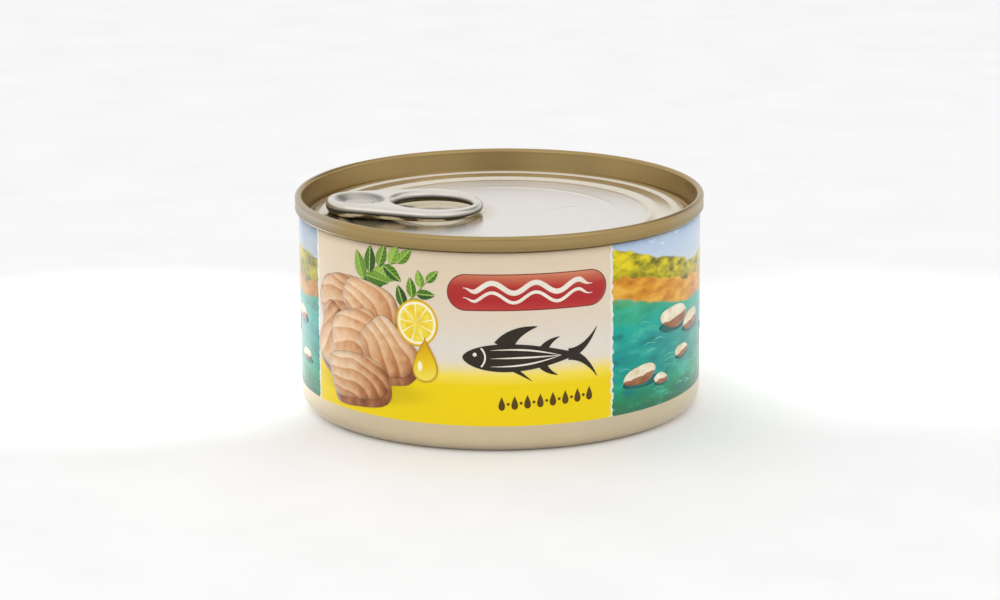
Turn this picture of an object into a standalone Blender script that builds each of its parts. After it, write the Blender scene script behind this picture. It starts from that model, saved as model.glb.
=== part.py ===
"""A short round food can with a ring-pull lid: drawn body, seamed lid, pull tab and rivet.

Metres, +Z up. The origin is at the middle of the surface that the can stands on. The tab lies on the -X
side of the lid, and the front of the printed wall faces -Y.
"""

import math

import bmesh
import bpy
from mathutils import Matrix, Vector

MM = 0.001

# The whole can, in millimetres
CAN_HEIGHT = 45.4
BODY_RADIUS = 42.5
SEAM_RADIUS = 43.3
SEAM_HEIGHT = 3.2
TURN_STEPS = 72
GAP = 0.3

# The drawn base
CORNER_RADIUS = 3.4
CORNER_STEPS = 6
STANDING_WIDTH = 2.9
BASE_RECESS = 1.1
BASE_BEAD_RADIUS = 21.0
BASE_BEAD_WIDTH = 5.0
BASE_BEAD_DROP = 0.5

# The lid, with heights taken down from the top of the seam
PANEL_DEPTH = 4.8
LAND_DEPTH = 4.4
SHOULDER_DEPTH = 4.05
COUNTERSINK_DEPTH = 5.4
UNDERSIDE_DEPTH = 6.4
PANEL_RADIUS = 31.4
LAND_RADIUS = 34.0
LAND_WIDTH = 2.4
RIM_STEP_WIDTH = 1.6
SHOULDER_RADIUS = 39.5
COUNTERSINK_WIDTH = 1.5
CHUCK_TOP_RADIUS = 41.6
CHUCK_WALL = 0.37
SEAM_ROUND = 0.85
SEAM_ROUND_STEPS = 6
SEAM_FOOT_ROUND = 0.5
BODY_RIM_WALL = 0.6

# The finger well, a shallow oval hollow under the ring of the tab
WELL_X = -13.2
WELL_HALF_LENGTH = 10.6
WELL_HALF_WIDTH = 13.8
WELL_DEPTH = 0.5
WELL_SLOPE = 1.4
WELL_STEPS = 40

# The pull tab: the hull of a round nose and an oval ring, with one finger hole
NOSE_X = -29.4
NOSE_RADIUS = 7.3
RING_X = -13.9
RING_HALF_LENGTH = 10.5
RING_HALF_WIDTH = 11.9
HOLE_X = -14.1
HOLE_HALF_LENGTH = 8.6
HOLE_HALF_WIDTH = 8.1
TAB_STEPS = 56
TAB_THICKNESS = 1.4
NOSE_SKIRT = 0.9
SKIRT_START_X = -7.0
SKIRT_FULL_X = -25.0
TAB_TOP_AT_RING = 43.45
TAB_TILT = 2.1
EDGE_ROUND = 0.5
EDGE_STEPS = 3
DISH_X = -29.6
DISH_HALF_LENGTH = 5.8
DISH_HALF_WIDTH = 5.4
DISH_DEPTH = 1.4
DISH_SLOPE = 0.8
DISH_STEPS = 32

# The rivet that holds the tab
RIVET_HEAD_RADIUS = 3.1
RIVET_SHANK_RADIUS = 2.0
RIVET_FOOT_RADIUS = 2.8
RIVET_HEAD_HEIGHT = 0.4
RIVET_FOOT_HEIGHT = 0.6
RIVET_STEPS = 28

# Colours as linear RGB, with metallic and roughness
PRINT_CREAM = ((0.72, 0.62, 0.44, 1.0), 0.0, 0.35)
LACQUERED_TIN = ((0.50, 0.41, 0.24, 1.0), 0.9, 0.32)
TAB_METAL = ((0.62, 0.60, 0.56, 1.0), 0.9, 0.30)


def clear_scene():
    """Removes every object of the scene."""
    for old in list(bpy.data.objects):
        bpy.data.objects.remove(old, do_unlink=True)


def make_material(name, look):
    """A Principled material from a colour, a metallic value and a roughness."""
    colour, metallic, roughness = look
    material = bpy.data.materials.new(name)
    material.use_nodes = True
    shader = material.node_tree.nodes["Principled BSDF"]
    shader.inputs["Base Color"].default_value = colour
    shader.inputs["Metallic"].default_value = metallic
    shader.inputs["Roughness"].default_value = roughness
    material.diffuse_color = colour
    return material


def link_object(name, bm, material=None):
    """Puts a bmesh into the scene as a smooth-shaded object with crisp corners."""
    mesh = bpy.data.meshes.new(name)
    bm.to_mesh(mesh)
    bm.free()
    mesh.shade_smooth()
    mesh.set_sharp_from_angle(angle=math.radians(40.0))
    piece = bpy.data.objects.new(name, mesh)
    bpy.context.scene.collection.objects.link(piece)
    if material is not None:
        mesh.materials.append(material)
    return piece


def arc(centre_r, centre_z, radius, start, end, steps):
    """Points (r, z) on a round corner, from one angle to another, in degrees."""
    points = []
    for i in range(steps + 1):
        angle = math.radians(start + (end - start) * i / steps)
        points.append((centre_r + radius * math.cos(angle), centre_z + radius * math.sin(angle)))
    return points


def turned_solid(profile, steps):
    """Spins an open profile of (r, z) in millimetres round Z and closes both ends with a flat disc."""
    bm = bmesh.new()
    points = [bm.verts.new((r * MM, 0.0, z * MM)) for r, z in profile]
    edges = [bm.edges.new(pair) for pair in zip(points, points[1:])]
    bmesh.ops.spin(
        bm,
        geom=points + edges,
        cent=(0.0, 0.0, 0.0),
        axis=(0.0, 0.0, 1.0),
        angle=math.tau,
        steps=steps,
        use_merge=True,
        use_duplicate=False,
    )
    open_edges = [edge for edge in bm.edges if edge.is_boundary]
    bmesh.ops.holes_fill(bm, edges=open_edges, sides=0)
    bmesh.ops.recalc_face_normals(bm, faces=bm.faces)
    return bm


def oval_frustum(top, bottom, top_z, bottom_z, steps):
    """A solid between two level ovals, each given by its half length along X and half width along Y."""
    bm = bmesh.new()
    loops = []
    for (half_x, half_y), z in ((top, top_z), (bottom, bottom_z)):
        loop = []
        for i in range(steps):
            angle = math.tau * i / steps
            loop.append(bm.verts.new((half_x * math.cos(angle) * MM, half_y * math.sin(angle) * MM, z * MM)))
        loops.append(loop)
    for i in range(steps):
        j = (i + 1) % steps
        bm.faces.new((loops[0][i], loops[0][j], loops[1][j], loops[1][i]))
    bm.faces.new(loops[0])
    bm.faces.new(loops[1])
    bmesh.ops.recalc_face_normals(bm, faces=bm.faces)
    return bm


def cut(piece, cutter):
    """Takes a cutter out of a piece with an exact Boolean, and removes the cutter."""
    cutter.hide_render = True
    cutter.display_type = "WIRE"
    modifier = piece.modifiers.new("cut", "BOOLEAN")
    modifier.operation = "DIFFERENCE"
    modifier.solver = "EXACT"
    modifier.object = cutter
    bpy.context.view_layer.update()
    evaluated = piece.evaluated_get(bpy.context.evaluated_depsgraph_get())
    result = bpy.data.meshes.new_from_object(evaluated)
    result.name = piece.name
    piece.modifiers.clear()
    piece.data = result
    bpy.data.objects.remove(cutter, do_unlink=True)
    result.shade_smooth()
    result.set_sharp_from_angle(angle=math.radians(40.0))


def base_profile():
    """The drawn base from the middle of its recess out to the standing ring, with one round bead."""
    bead = BASE_BEAD_WIDTH / 2.0
    standing_outer = BODY_RADIUS - CORNER_RADIUS
    standing_inner = standing_outer - STANDING_WIDTH
    points = []
    for side in (-1.0, -0.5, 0.0, 0.5, 1.0):
        drop = BASE_BEAD_DROP * math.cos(side * math.pi / 2.0)
        points.append((BASE_BEAD_RADIUS + side * bead, BASE_RECESS - drop))
    points.append((standing_inner - 2.0 * BASE_RECESS, BASE_RECESS))
    points.append((standing_inner - 0.6 * BASE_RECESS, 0.35 * BASE_RECESS))
    points.append((standing_inner, 0.0))
    points.append((standing_outer, 0.0))
    return points


def body_profile():
    """Base, rounded corner, straight wall and the thin rim that the seam hooks over."""
    seam_foot = CAN_HEIGHT - SEAM_HEIGHT
    rim_inner = BODY_RADIUS - BODY_RIM_WALL
    floor = CAN_HEIGHT - UNDERSIDE_DEPTH - GAP
    corner = arc(BODY_RADIUS - CORNER_RADIUS, CORNER_RADIUS, CORNER_RADIUS, -90.0, 0.0, CORNER_STEPS)
    points = base_profile() + corner[1:]
    points.append((BODY_RADIUS, seam_foot - GAP))
    points.append((rim_inner, seam_foot - GAP))
    points.append((rim_inner, floor))
    return points


def step_profile(inner_r, outer_r, inner_z, outer_z, steps):
    """A smooth step: half a cosine wave from one height to the other."""
    points = []
    for i in range(steps + 1):
        share = i / steps
        rise = 0.5 - 0.5 * math.cos(math.pi * share)
        points.append((inner_r + (outer_r - inner_r) * share, inner_z + (outer_z - inner_z) * rise))
    return points


def panel_profile():
    """The raised rings of the lid, from the edge of the middle panel out to the countersink."""
    panel = CAN_HEIGHT - PANEL_DEPTH
    land = CAN_HEIGHT - LAND_DEPTH
    shoulder = CAN_HEIGHT - SHOULDER_DEPTH
    step_in = LAND_RADIUS + LAND_WIDTH
    step_out = step_in + RIM_STEP_WIDTH
    round_off = (SHOULDER_RADIUS - step_out) / 3.0
    points = step_profile(PANEL_RADIUS, LAND_RADIUS, panel, land, 4)
    points += step_profile(step_in, step_out, land, shoulder, 4)
    points += arc(SHOULDER_RADIUS - round_off, shoulder - round_off, round_off, 90.0, 0.0, 3)
    return points


def countersink_profile():
    """The round-bottomed channel between the panel and the chuck wall."""
    half = COUNTERSINK_WIDTH / 2.0
    bottom = CAN_HEIGHT - COUNTERSINK_DEPTH
    return arc(SHOULDER_RADIUS + half, bottom + half, half, 180.0, 360.0, 4)


def seam_profile():
    """The double seam from the top of the chuck wall, over the rounded top and down to its foot."""
    foot = CAN_HEIGHT - SEAM_HEIGHT
    inner = CHUCK_TOP_RADIUS
    half = (SEAM_RADIUS - inner) / 2.0
    points = []
    for i in range(SEAM_ROUND_STEPS + 1):
        angle = math.pi * (1.0 - i / SEAM_ROUND_STEPS)
        z = CAN_HEIGHT - SEAM_ROUND + SEAM_ROUND * math.sin(angle)
        points.append((inner + half + half * math.cos(angle), z))
    points += arc(SEAM_RADIUS - SEAM_FOOT_ROUND, foot + SEAM_FOOT_ROUND, SEAM_FOOT_ROUND, 0.0, -90.0, 3)
    return points


def lid_profile():
    """Panel, countersink, seam, then back inside the body's rim to the flat underside."""
    foot = CAN_HEIGHT - SEAM_HEIGHT
    underside = CAN_HEIGHT - UNDERSIDE_DEPTH
    plug_radius = BODY_RADIUS - BODY_RIM_WALL - GAP
    points = panel_profile() + countersink_profile() + seam_profile()
    points.append((plug_radius, foot))
    points.append((plug_radius, underside + CHUCK_WALL))
    points.append((plug_radius - CHUCK_WALL, underside))
    return points


def make_body(material):
    """The solid body of the shut can, which carries the printed wall."""
    return link_object("can_body", turned_solid(body_profile(), TURN_STEPS), material)


def make_lid(material):
    """The seamed lid, with the finger well pressed into its panel."""
    lid = link_object("lid", turned_solid(lid_profile(), TURN_STEPS), material)
    top = (WELL_HALF_LENGTH + WELL_SLOPE, WELL_HALF_WIDTH + WELL_SLOPE)
    bottom = (WELL_HALF_LENGTH - WELL_SLOPE, WELL_HALF_WIDTH - WELL_SLOPE)
    panel = CAN_HEIGHT - PANEL_DEPTH
    well = link_object("well_cutter", oval_frustum(top, bottom, panel + WELL_DEPTH, panel - WELL_DEPTH, WELL_STEPS))
    well.location = (WELL_X * MM, 0.0, 0.0)
    cut(lid, well)
    return lid


def tab_outline(steps):
    """Points of the hull of nose and ring: for each outward direction, the one that reaches further."""
    points = []
    for i in range(steps):
        angle = math.tau * (i + 0.5) / steps
        out_x = math.cos(angle)
        out_y = math.sin(angle)
        ring_reach = math.hypot(RING_HALF_LENGTH * out_x, RING_HALF_WIDTH * out_y)
        if NOSE_X * out_x + NOSE_RADIUS > RING_X * out_x + ring_reach:
            points.append((NOSE_X + NOSE_RADIUS * out_x, NOSE_RADIUS * out_y))
        else:
            x = RING_X + RING_HALF_LENGTH ** 2 * out_x / ring_reach
            points.append((x, RING_HALF_WIDTH ** 2 * out_y / ring_reach))
    return points


def hole_outline(steps):
    """Points of the oval finger hole, in the same directions as the outline."""
    points = []
    for i in range(steps):
        angle = math.tau * (i + 0.5) / steps
        x = HOLE_X + HOLE_HALF_LENGTH * math.cos(angle)
        points.append((x, HOLE_HALF_WIDTH * math.sin(angle)))
    return points


def tab_underside(x):
    """Depth of the tab's underside below its top: its curled edge is deeper near the nose."""
    share = min(max((x - SKIRT_START_X) / (SKIRT_FULL_X - SKIRT_START_X), 0.0), 1.0)
    return -TAB_THICKNESS - NOSE_SKIRT * share * share * (3.0 - 2.0 * share)


def tab_plate():
    """The flat tab with its finger hole, its top at z = 0 and its long edges rounded."""
    bm = bmesh.new()
    loops = {}
    for side, outline in (("outer", tab_outline(TAB_STEPS)), ("hole", hole_outline(TAB_STEPS))):
        loops[side, "top"] = [bm.verts.new(((x - DISH_X) * MM, y * MM, 0.0)) for x, y in outline]
        loops[side, "bottom"] = [bm.verts.new(((x - DISH_X) * MM, y * MM, tab_underside(x) * MM)) for x, y in outline]
    walls = (
        (loops["outer", "top"], loops["hole", "top"]),
        (loops["hole", "top"], loops["hole", "bottom"]),
        (loops["hole", "bottom"], loops["outer", "bottom"]),
        (loops["outer", "bottom"], loops["outer", "top"]),
    )
    for first, second in walls:
        for i in range(TAB_STEPS):
            j = (i + 1) % TAB_STEPS
            bm.faces.new((first[i], first[j], second[j], second[i]))
    bmesh.ops.recalc_face_normals(bm, faces=bm.faces)
    corners = []
    for loop in loops.values():
        for i in range(TAB_STEPS):
            corners.append(bm.edges.get((loop[i], loop[(i + 1) % TAB_STEPS])))
    bmesh.ops.bevel(
        bm,
        geom=corners,
        offset=EDGE_ROUND * MM,
        offset_type="OFFSET",
        segments=EDGE_STEPS,
        profile=0.5,
        affect="EDGES",
    )
    return bm


def tab_top_at(x):
    """Height of the tab's tilted top face, in millimetres."""
    return TAB_TOP_AT_RING + (RING_X - x) * math.tan(math.radians(TAB_TILT))


def tab_matrix():
    """The tab's own frame: its dish centre on the rivet's axis, its nose tilted up."""
    place = Matrix.Translation(Vector((DISH_X * MM, 0.0, tab_top_at(DISH_X) * MM)))
    return place @ Matrix.Rotation(math.radians(TAB_TILT), 4, "Y")


def make_tab(material):
    """The pull tab, with the dish round its rivet and the rivet's hole."""
    tab = link_object("pull_tab", tab_plate(), material)
    rim = (DISH_HALF_LENGTH + DISH_SLOPE, DISH_HALF_WIDTH + DISH_SLOPE)
    floor = (DISH_HALF_LENGTH - DISH_SLOPE, DISH_HALF_WIDTH - DISH_SLOPE)
    dish = link_object("dish_cutter", oval_frustum(rim, floor, DISH_DEPTH, -DISH_DEPTH, DISH_STEPS))
    cut(tab, dish)
    bore = RIVET_SHANK_RADIUS + GAP
    low = -2.0 * TAB_THICKNESS
    hole = link_object("bore_cutter", oval_frustum((bore, bore), (bore, bore), DISH_DEPTH, low, RIVET_STEPS))
    cut(tab, hole)
    tab.matrix_world = tab_matrix()
    return tab


def rivet_profile():
    """Foot on the panel, shank through the tab, and a low domed head in the dish."""
    dish_floor = tab_top_at(DISH_X) - DISH_DEPTH
    foot = CAN_HEIGHT - PANEL_DEPTH + GAP
    tilt_room = math.tan(math.radians(TAB_TILT)) * RIVET_HEAD_RADIUS
    head = dish_floor + GAP + tilt_room
    crown = head + RIVET_HEAD_HEIGHT
    return [
        (RIVET_FOOT_RADIUS, foot),
        (RIVET_FOOT_RADIUS, foot + 0.5 * RIVET_FOOT_HEIGHT),
        (RIVET_SHANK_RADIUS, foot + RIVET_FOOT_HEIGHT),
        (RIVET_SHANK_RADIUS, head),
        (RIVET_HEAD_RADIUS, head),
        (RIVET_HEAD_RADIUS, head + 0.4 * RIVET_HEAD_HEIGHT),
        (0.85 * RIVET_HEAD_RADIUS, head + 0.85 * RIVET_HEAD_HEIGHT),
        (0.55 * RIVET_HEAD_RADIUS, crown),
    ]


def make_rivet(material):
    """The rivet, turned about the middle of the tab's dish."""
    rivet = link_object("rivet", turned_solid(rivet_profile(), RIVET_STEPS), material)
    rivet.location = (DISH_X * MM, 0.0, 0.0)
    return rivet


def main():
    clear_scene()
    root = bpy.data.objects.new("can", None)
    bpy.context.scene.collection.objects.link(root)
    tin = make_material("lacquered_tin", LACQUERED_TIN)
    metal = make_material("tab_metal", TAB_METAL)
    pieces = [
        make_body(make_material("printed_wall", PRINT_CREAM)),
        make_lid(tin),
        make_tab(metal),
        make_rivet(metal),
    ]
    for piece in pieces:
        piece.parent = root


main()
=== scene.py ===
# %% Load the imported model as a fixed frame
import math

import bpy
import numpy as np
from mathutils import Matrix, Vector


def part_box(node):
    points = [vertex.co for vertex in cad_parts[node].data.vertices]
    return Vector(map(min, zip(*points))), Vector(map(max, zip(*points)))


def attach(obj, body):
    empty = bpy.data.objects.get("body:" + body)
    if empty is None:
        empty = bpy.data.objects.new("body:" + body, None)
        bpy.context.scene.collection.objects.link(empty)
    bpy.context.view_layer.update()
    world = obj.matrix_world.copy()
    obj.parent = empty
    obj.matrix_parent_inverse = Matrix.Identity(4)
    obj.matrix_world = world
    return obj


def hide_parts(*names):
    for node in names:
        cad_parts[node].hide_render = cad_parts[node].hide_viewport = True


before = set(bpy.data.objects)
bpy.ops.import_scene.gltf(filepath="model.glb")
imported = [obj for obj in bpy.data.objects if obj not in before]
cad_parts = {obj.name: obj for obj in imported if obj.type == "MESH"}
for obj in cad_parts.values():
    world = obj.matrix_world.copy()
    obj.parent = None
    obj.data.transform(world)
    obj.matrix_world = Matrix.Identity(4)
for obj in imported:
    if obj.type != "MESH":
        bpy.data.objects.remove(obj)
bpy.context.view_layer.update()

# %% [markdown]
# This scene dresses a short round fish can. The real can is a drawn tin cup with a print on its wall, a lid
# whose edge is rolled together with the cup's edge, a pull tab and the rivet that holds it. The construction
# model has these four pieces as plain facets. Here each one gets a fine mesh and a finish of its own.
# Sizes that the frame already holds are measured from it. The others are named where they are first needed,
# in millimetres, because a can maker thinks in millimetres. MM turns them into Blender's metres, and UV maps
# hold lengths in units of PLAN_UNIT millimetres.

# %% Sizes that come from the frame
MM = 0.001
PLAN_UNIT = 100.0

body_low, body_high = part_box("can_body")
lid_low, lid_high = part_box("lid")
tab_low, tab_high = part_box("pull_tab")
rivet_low, rivet_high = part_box("rivet")

BODY_RADIUS = body_high.x / MM
SEAM_RADIUS = lid_high.x / MM
CAN_HEIGHT = lid_high.z / MM
print(f"wall radius {BODY_RADIUS:.2f}, seam radius {SEAM_RADIUS:.2f}, height {CAN_HEIGHT:.2f} mm")
print("tab in the frame", [[round(value / MM, 2) for value in corner] for corner in (tab_low, tab_high)])

# %% [markdown]
# The camera comes first, because every later look is judged through it. The reference was taken with a long
# lens from a little above the rim. The distance and the tilt were found by fitting the ovals of rim and base,
# and they are kept here as plain camera settings: how far, how steep, how much the frame is turned, and the
# focal length in widths of the frame. A long lens is why the far rim looks almost as wide as the near one.

# %% Camera
CAMERA_DISTANCE = 769.9
CAMERA_PITCH = math.radians(14.406)
CAMERA_ROLL = math.radians(-0.406)
CAMERA_AIM_HEIGHT = 21.41
FOCAL_IN_WIDTHS = 3.610
SENSOR_WIDTH = 36.0


def aim_camera():
    """Places the camera in front of the can (towards -Y), looking along +Y and down."""
    data = bpy.data.cameras.new("product_camera")
    data.sensor_width = SENSOR_WIDTH
    data.lens = FOCAL_IN_WIDTHS * SENSOR_WIDTH
    camera = bpy.data.objects.new("product_camera", data)
    bpy.context.scene.collection.objects.link(camera)
    aim = Vector((0.0, 0.0, CAMERA_AIM_HEIGHT * MM))
    back = Vector((0.0, -math.cos(CAMERA_PITCH), math.sin(CAMERA_PITCH)))
    turn = Matrix.Rotation(math.radians(90.0) - CAMERA_PITCH, 4, "X") @ Matrix.Rotation(CAMERA_ROLL, 4, "Z")
    camera.matrix_world = Matrix.Translation(aim + back * CAMERA_DISTANCE * MM) @ turn
    bpy.context.scene.camera = camera
    return camera


camera = aim_camera()
print("camera stands at", tuple(round(value, 3) for value in camera.matrix_world.translation))

# %% [markdown]
# Every piece below is a grid. A grid has rows and columns of points, and its faces join neighbours. It can
# close on itself sideways, as a turned ring does, or both ways, as a tube does. Working out whole arrays with
# numpy is quick, and it keeps the shape's formula in one place. The helpers below turn such arrays into a
# mesh, and put a flat plan of the surface into a UV map for the patterns that follow it.

# %% Grid helpers
def grid_corners(rows, columns):
    """Row and column of the four corners of each cell, turning anticlockwise in (column, row) order."""
    row, column = np.meshgrid(np.arange(rows), np.arange(columns), indexing="ij")
    row = row.ravel()[:, None] + np.array([0, 0, 1, 1])
    column = column.ravel()[:, None] + np.array([0, 1, 1, 0])
    return row, column


def mesh_object(name, points, faces, corner_uv=None):
    """A smooth mesh object from points in millimetres, faces of three or four corners and a UV per corner."""
    mesh = bpy.data.meshes.new(name)
    mesh.from_pydata((np.asarray(points) * MM).tolist(), [], [list(map(int, face)) for face in faces])
    if corner_uv is not None:
        layer = mesh.uv_layers.new(name="plan")
        layer.data.foreach_set("uv", np.asarray(corner_uv, np.float32).ravel())
    mesh.shade_smooth()
    mesh.validate()
    piece = bpy.data.objects.new(name, mesh)
    bpy.context.scene.collection.objects.link(piece)
    return piece


def turned(name, profile, columns, lift=None):
    """Spins a profile of (r, z) round Z; both its ends lie on the axis, and each becomes one pole point.

    The profile runs from below, by the outside, to the top, so that the faces point outwards.
    Point (i, j) is (r_i sin a_j, -r_i cos a_j, z_i) with a_j from -180 to 180 degrees, so the join of the UV
    map is at the back. The UV map holds the arc length at the wall and the height.
    lift(x, y, r) is an optional height that is added to each point.
    """
    profile = np.asarray(profile, float)
    rings = profile[1:-1]
    angles = -math.pi + math.tau * np.arange(columns) / columns
    x = rings[:, :1] * np.sin(angles)
    y = -rings[:, :1] * np.cos(angles)
    z = np.repeat(rings[:, 1:], columns, axis=1)
    if lift is not None:
        z = z + lift(x, y, np.hypot(x, y))
    points = np.stack([x, y, z], axis=-1).reshape(-1, 3)
    poles = np.array([[0.0, 0.0, profile[0, 1]], [0.0, 0.0, profile[-1, 1]]])
    first, last = len(points), len(points) + 1
    row, column = grid_corners(len(rings) - 1, columns)
    quads = row * columns + column % columns
    arc_length = (-0.5 + column / columns) * math.tau * BODY_RADIUS / PLAN_UNIT
    quad_uv = np.stack([arc_length, rings[row, 1] / PLAN_UNIT], axis=-1)
    step = np.arange(columns)
    after = (step + 1) % columns
    base = (len(rings) - 1) * columns
    start_fan = np.stack([np.full(columns, first), after, step], axis=-1)
    end_fan = np.stack([np.full(columns, last), base + step, base + after], axis=-1)
    uv = [quad_uv.reshape(-1, 2)]
    for height in (profile[0, 1], profile[-1, 1]):
        uv.append(np.tile([[0.0, height / PLAN_UNIT]], (columns * 3, 1)))
    faces = quads.tolist() + start_fan.tolist() + end_fan.tolist()
    return mesh_object(name, np.concatenate([points, poles]), faces, np.concatenate(uv))


def along(start, end, count):
    """Evenly spaced points (r, z) from start to end, with the start left out."""
    share = np.arange(1, count + 1)[:, None] / count
    return np.array(start) + (np.array(end) - np.array(start)) * share


def arc(centre, radius, start, end, count):
    """Points on a round corner between two angles in degrees, the first left out. radius may be a pair."""
    angle = np.radians(start + (end - start) * np.arange(1, count + 1) / count)
    reach = np.broadcast_to(radius, 2)
    return np.stack([centre[0] + reach[0] * np.cos(angle), centre[1] + reach[1] * np.sin(angle)], axis=-1)


def smooth_step(low, high, value):
    """0 below low, 1 above high, and 3t^2 - 2t^3 between."""
    t = np.clip((value - low) / (high - low), 0.0, 1.0)
    return t * t * (3.0 - 2.0 * t)


# %% [markdown]
# Materials are made of nodes. Three small helpers keep each recipe short: one adds a node and fills or links
# its sockets, one does sums, one mixes two colours. Colours are given as they look on a screen, 0 to 255,
# because that is how a printer matches them, and are turned into Blender's linear values.

# %% Material helpers
def ink(red, green, blue):
    """A screen colour, 0 to 255, as linear RGBA."""
    screen = np.array([red, green, blue]) / 255.0
    linear = np.where(screen <= 0.04045, screen / 12.92, ((screen + 0.055) / 1.055) ** 2.4)
    return (*map(float, linear), 1.0)


def add(tree, kind, feeds=None, **settings):
    """Adds a node. feeds maps input names or numbers to a value or to another node's output."""
    node = tree.nodes.new(kind)
    for key, value in settings.items():
        setattr(node, key, value)
    for key, value in (feeds or {}).items():
        if isinstance(value, bpy.types.NodeSocket):
            tree.links.new(value, node.inputs[key])
        else:
            node.inputs[key].default_value = value
    return node


def calc(tree, operation, *values):
    """A Math node on one, two or three values or outputs."""
    return add(tree, "ShaderNodeMath", dict(enumerate(values)), operation=operation).outputs[0]


def mix(tree, mask, first, second, blend="MIX"):
    """Mixes two colours by a mask: 0 gives the first, 1 the second."""
    node = add(tree, "ShaderNodeMix", data_type="RGBA", blend_type=blend)
    for socket, value in ((node.inputs[0], mask), (node.inputs[6], first), (node.inputs[7], second)):
        if isinstance(value, bpy.types.NodeSocket):
            tree.links.new(value, socket)
        else:
            socket.default_value = value
    return node.outputs[2]


def ramp(tree, value, stops):
    """A colour ramp through (position, colour) stops."""
    node = add(tree, "ShaderNodeValToRGB", {"Fac": value})
    ramp_stops = node.color_ramp.elements
    while len(ramp_stops) < len(stops):
        ramp_stops.new(0.5)
    for stop, (position, colour) in zip(ramp_stops, stops):
        stop.position = position
        stop.color = colour
    return node.outputs["Color"]


def soft_edge(tree, value, edge, width):
    """A mask that rises from 0 to 1 where value passes edge, over a width."""
    feeds = {0: value, 1: edge - width / 2.0, 2: edge + width / 2.0, 3: 0.0, 4: 1.0}
    return add(tree, "ShaderNodeMapRange", feeds, interpolation_type="SMOOTHSTEP").outputs[0]


def new_material(name):
    """An empty material with a Principled shader; returns the material, its tree and the shader."""
    material = bpy.data.materials.new(name)
    material.use_nodes = True
    tree = material.node_tree
    return material, tree, tree.nodes["Principled BSDF"]


# %% [markdown]
# Two effects turn up on several pieces, so each is a node group with named sockets. Tin and aluminium that
# have been through a press and a carton carry faint scuffs, and rolled sheet has a grain that runs one way.
# Ink on tin is never quite even. The groups give out heights and values only, and each material decides where
# these go.

# %% Shared effects
def start_group(name, inputs, outputs):
    """An empty shader node group with float inputs (name, default) and named outputs (name, socket type)."""
    group = bpy.data.node_groups.new(name, "ShaderNodeTree")
    group.interface.new_socket("Position", in_out="INPUT", socket_type="NodeSocketVector")
    for label, value in inputs:
        socket = group.interface.new_socket(label, in_out="INPUT", socket_type="NodeSocketFloat")
        socket.default_value = value
    for label, kind in outputs:
        group.interface.new_socket(label, in_out="OUTPUT", socket_type=kind)
    return group, group.nodes.new("NodeGroupInput"), group.nodes.new("NodeGroupOutput")


def sheet_metal_group():
    """Rolled grain along X and a scatter of fine scuffs, as a height, a change of roughness and a tone."""
    group, given, out = start_group(
        "sheet_metal",
        [("Grain Scale", 400.0), ("Stretch", 12.0), ("Scuff Scale", 120.0)],
        [("Height", "NodeSocketFloat"), ("Roughness Change", "NodeSocketFloat"), ("Tone", "NodeSocketFloat")],
    )
    split = add(group, "ShaderNodeSeparateXYZ", {0: given.outputs["Position"]})
    pulled = calc(group, "DIVIDE", split.outputs[0], given.outputs["Stretch"])
    grain_place = add(group, "ShaderNodeCombineXYZ", {0: pulled, 1: split.outputs[1], 2: split.outputs[2]})
    grain_feeds = {"Vector": grain_place.outputs[0], "Detail": 3.0, "Roughness": 0.6}
    grain = add(group, "ShaderNodeTexNoise", grain_feeds)
    group.links.new(given.outputs["Grain Scale"], grain.inputs["Scale"])
    scuff_feeds = {"Vector": given.outputs["Position"], "Detail": 4.0, "Roughness": 0.7}
    scuff = add(group, "ShaderNodeTexNoise", scuff_feeds)
    group.links.new(given.outputs["Scuff Scale"], scuff.inputs["Scale"])
    marks = soft_edge(group, scuff.outputs[0], 0.62, 0.12)
    height = calc(group, "MULTIPLY_ADD", marks, -0.4, grain.outputs[0])
    group.links.new(height, out.inputs["Height"])
    centred = calc(group, "SUBTRACT", grain.outputs[0], 0.5)
    change = calc(group, "MULTIPLY_ADD", marks, 0.35, calc(group, "MULTIPLY", centred, 0.5))
    group.links.new(change, out.inputs["Roughness Change"])
    group.links.new(scuff.outputs[0], out.inputs["Tone"])
    return group


def ink_film_group():
    """Small changes in how thick the ink and its varnish lie, as a tone near 1 and as a height."""
    group, given, out = start_group(
        "ink_film",
        [("Mottle Scale", 260.0), ("Strength", 0.05)],
        [("Tone", "NodeSocketFloat"), ("Height", "NodeSocketFloat")],
    )
    mottle = add(group, "ShaderNodeTexNoise", {"Vector": given.outputs["Position"], "Detail": 3.0})
    group.links.new(given.outputs["Mottle Scale"], mottle.inputs["Scale"])
    centred = calc(group, "SUBTRACT", mottle.outputs[0], 0.5)
    tone = calc(group, "MULTIPLY_ADD", centred, given.outputs["Strength"], 1.0)
    group.links.new(tone, out.inputs["Tone"])
    group.links.new(mottle.outputs[0], out.inputs["Height"])
    return group


SHEET_METAL = sheet_metal_group()
INK_FILM = ink_film_group()
print("node groups:", SHEET_METAL.name, INK_FILM.name)


def use_group(tree, group, position, **values):
    """Places a group in a material and sets its sockets; underscores in names stand for spaces."""
    node = add(tree, "ShaderNodeGroup", node_tree=group)
    tree.links.new(position, node.inputs["Position"])
    for key, value in values.items():
        node.inputs[key.replace("_", " ")].default_value = value
    return node


def scaled(tree, colour, tone):
    """A colour multiplied by a value that is near 1."""
    grey = add(tree, "ShaderNodeCombineColor", {0: tone, 1: tone, 2: tone})
    return mix(tree, 1.0, colour, grey.outputs[0], "MULTIPLY")


def add_bump(tree, shader, height, distance, strength=1.0):
    """Feeds a height into the shader's normal, with the real depth of the marks in metres."""
    bump = add(tree, "ShaderNodeBump", {"Height": height, "Distance": distance, "Strength": strength})
    tree.links.new(bump.outputs[0], shader.inputs["Normal"])


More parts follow.
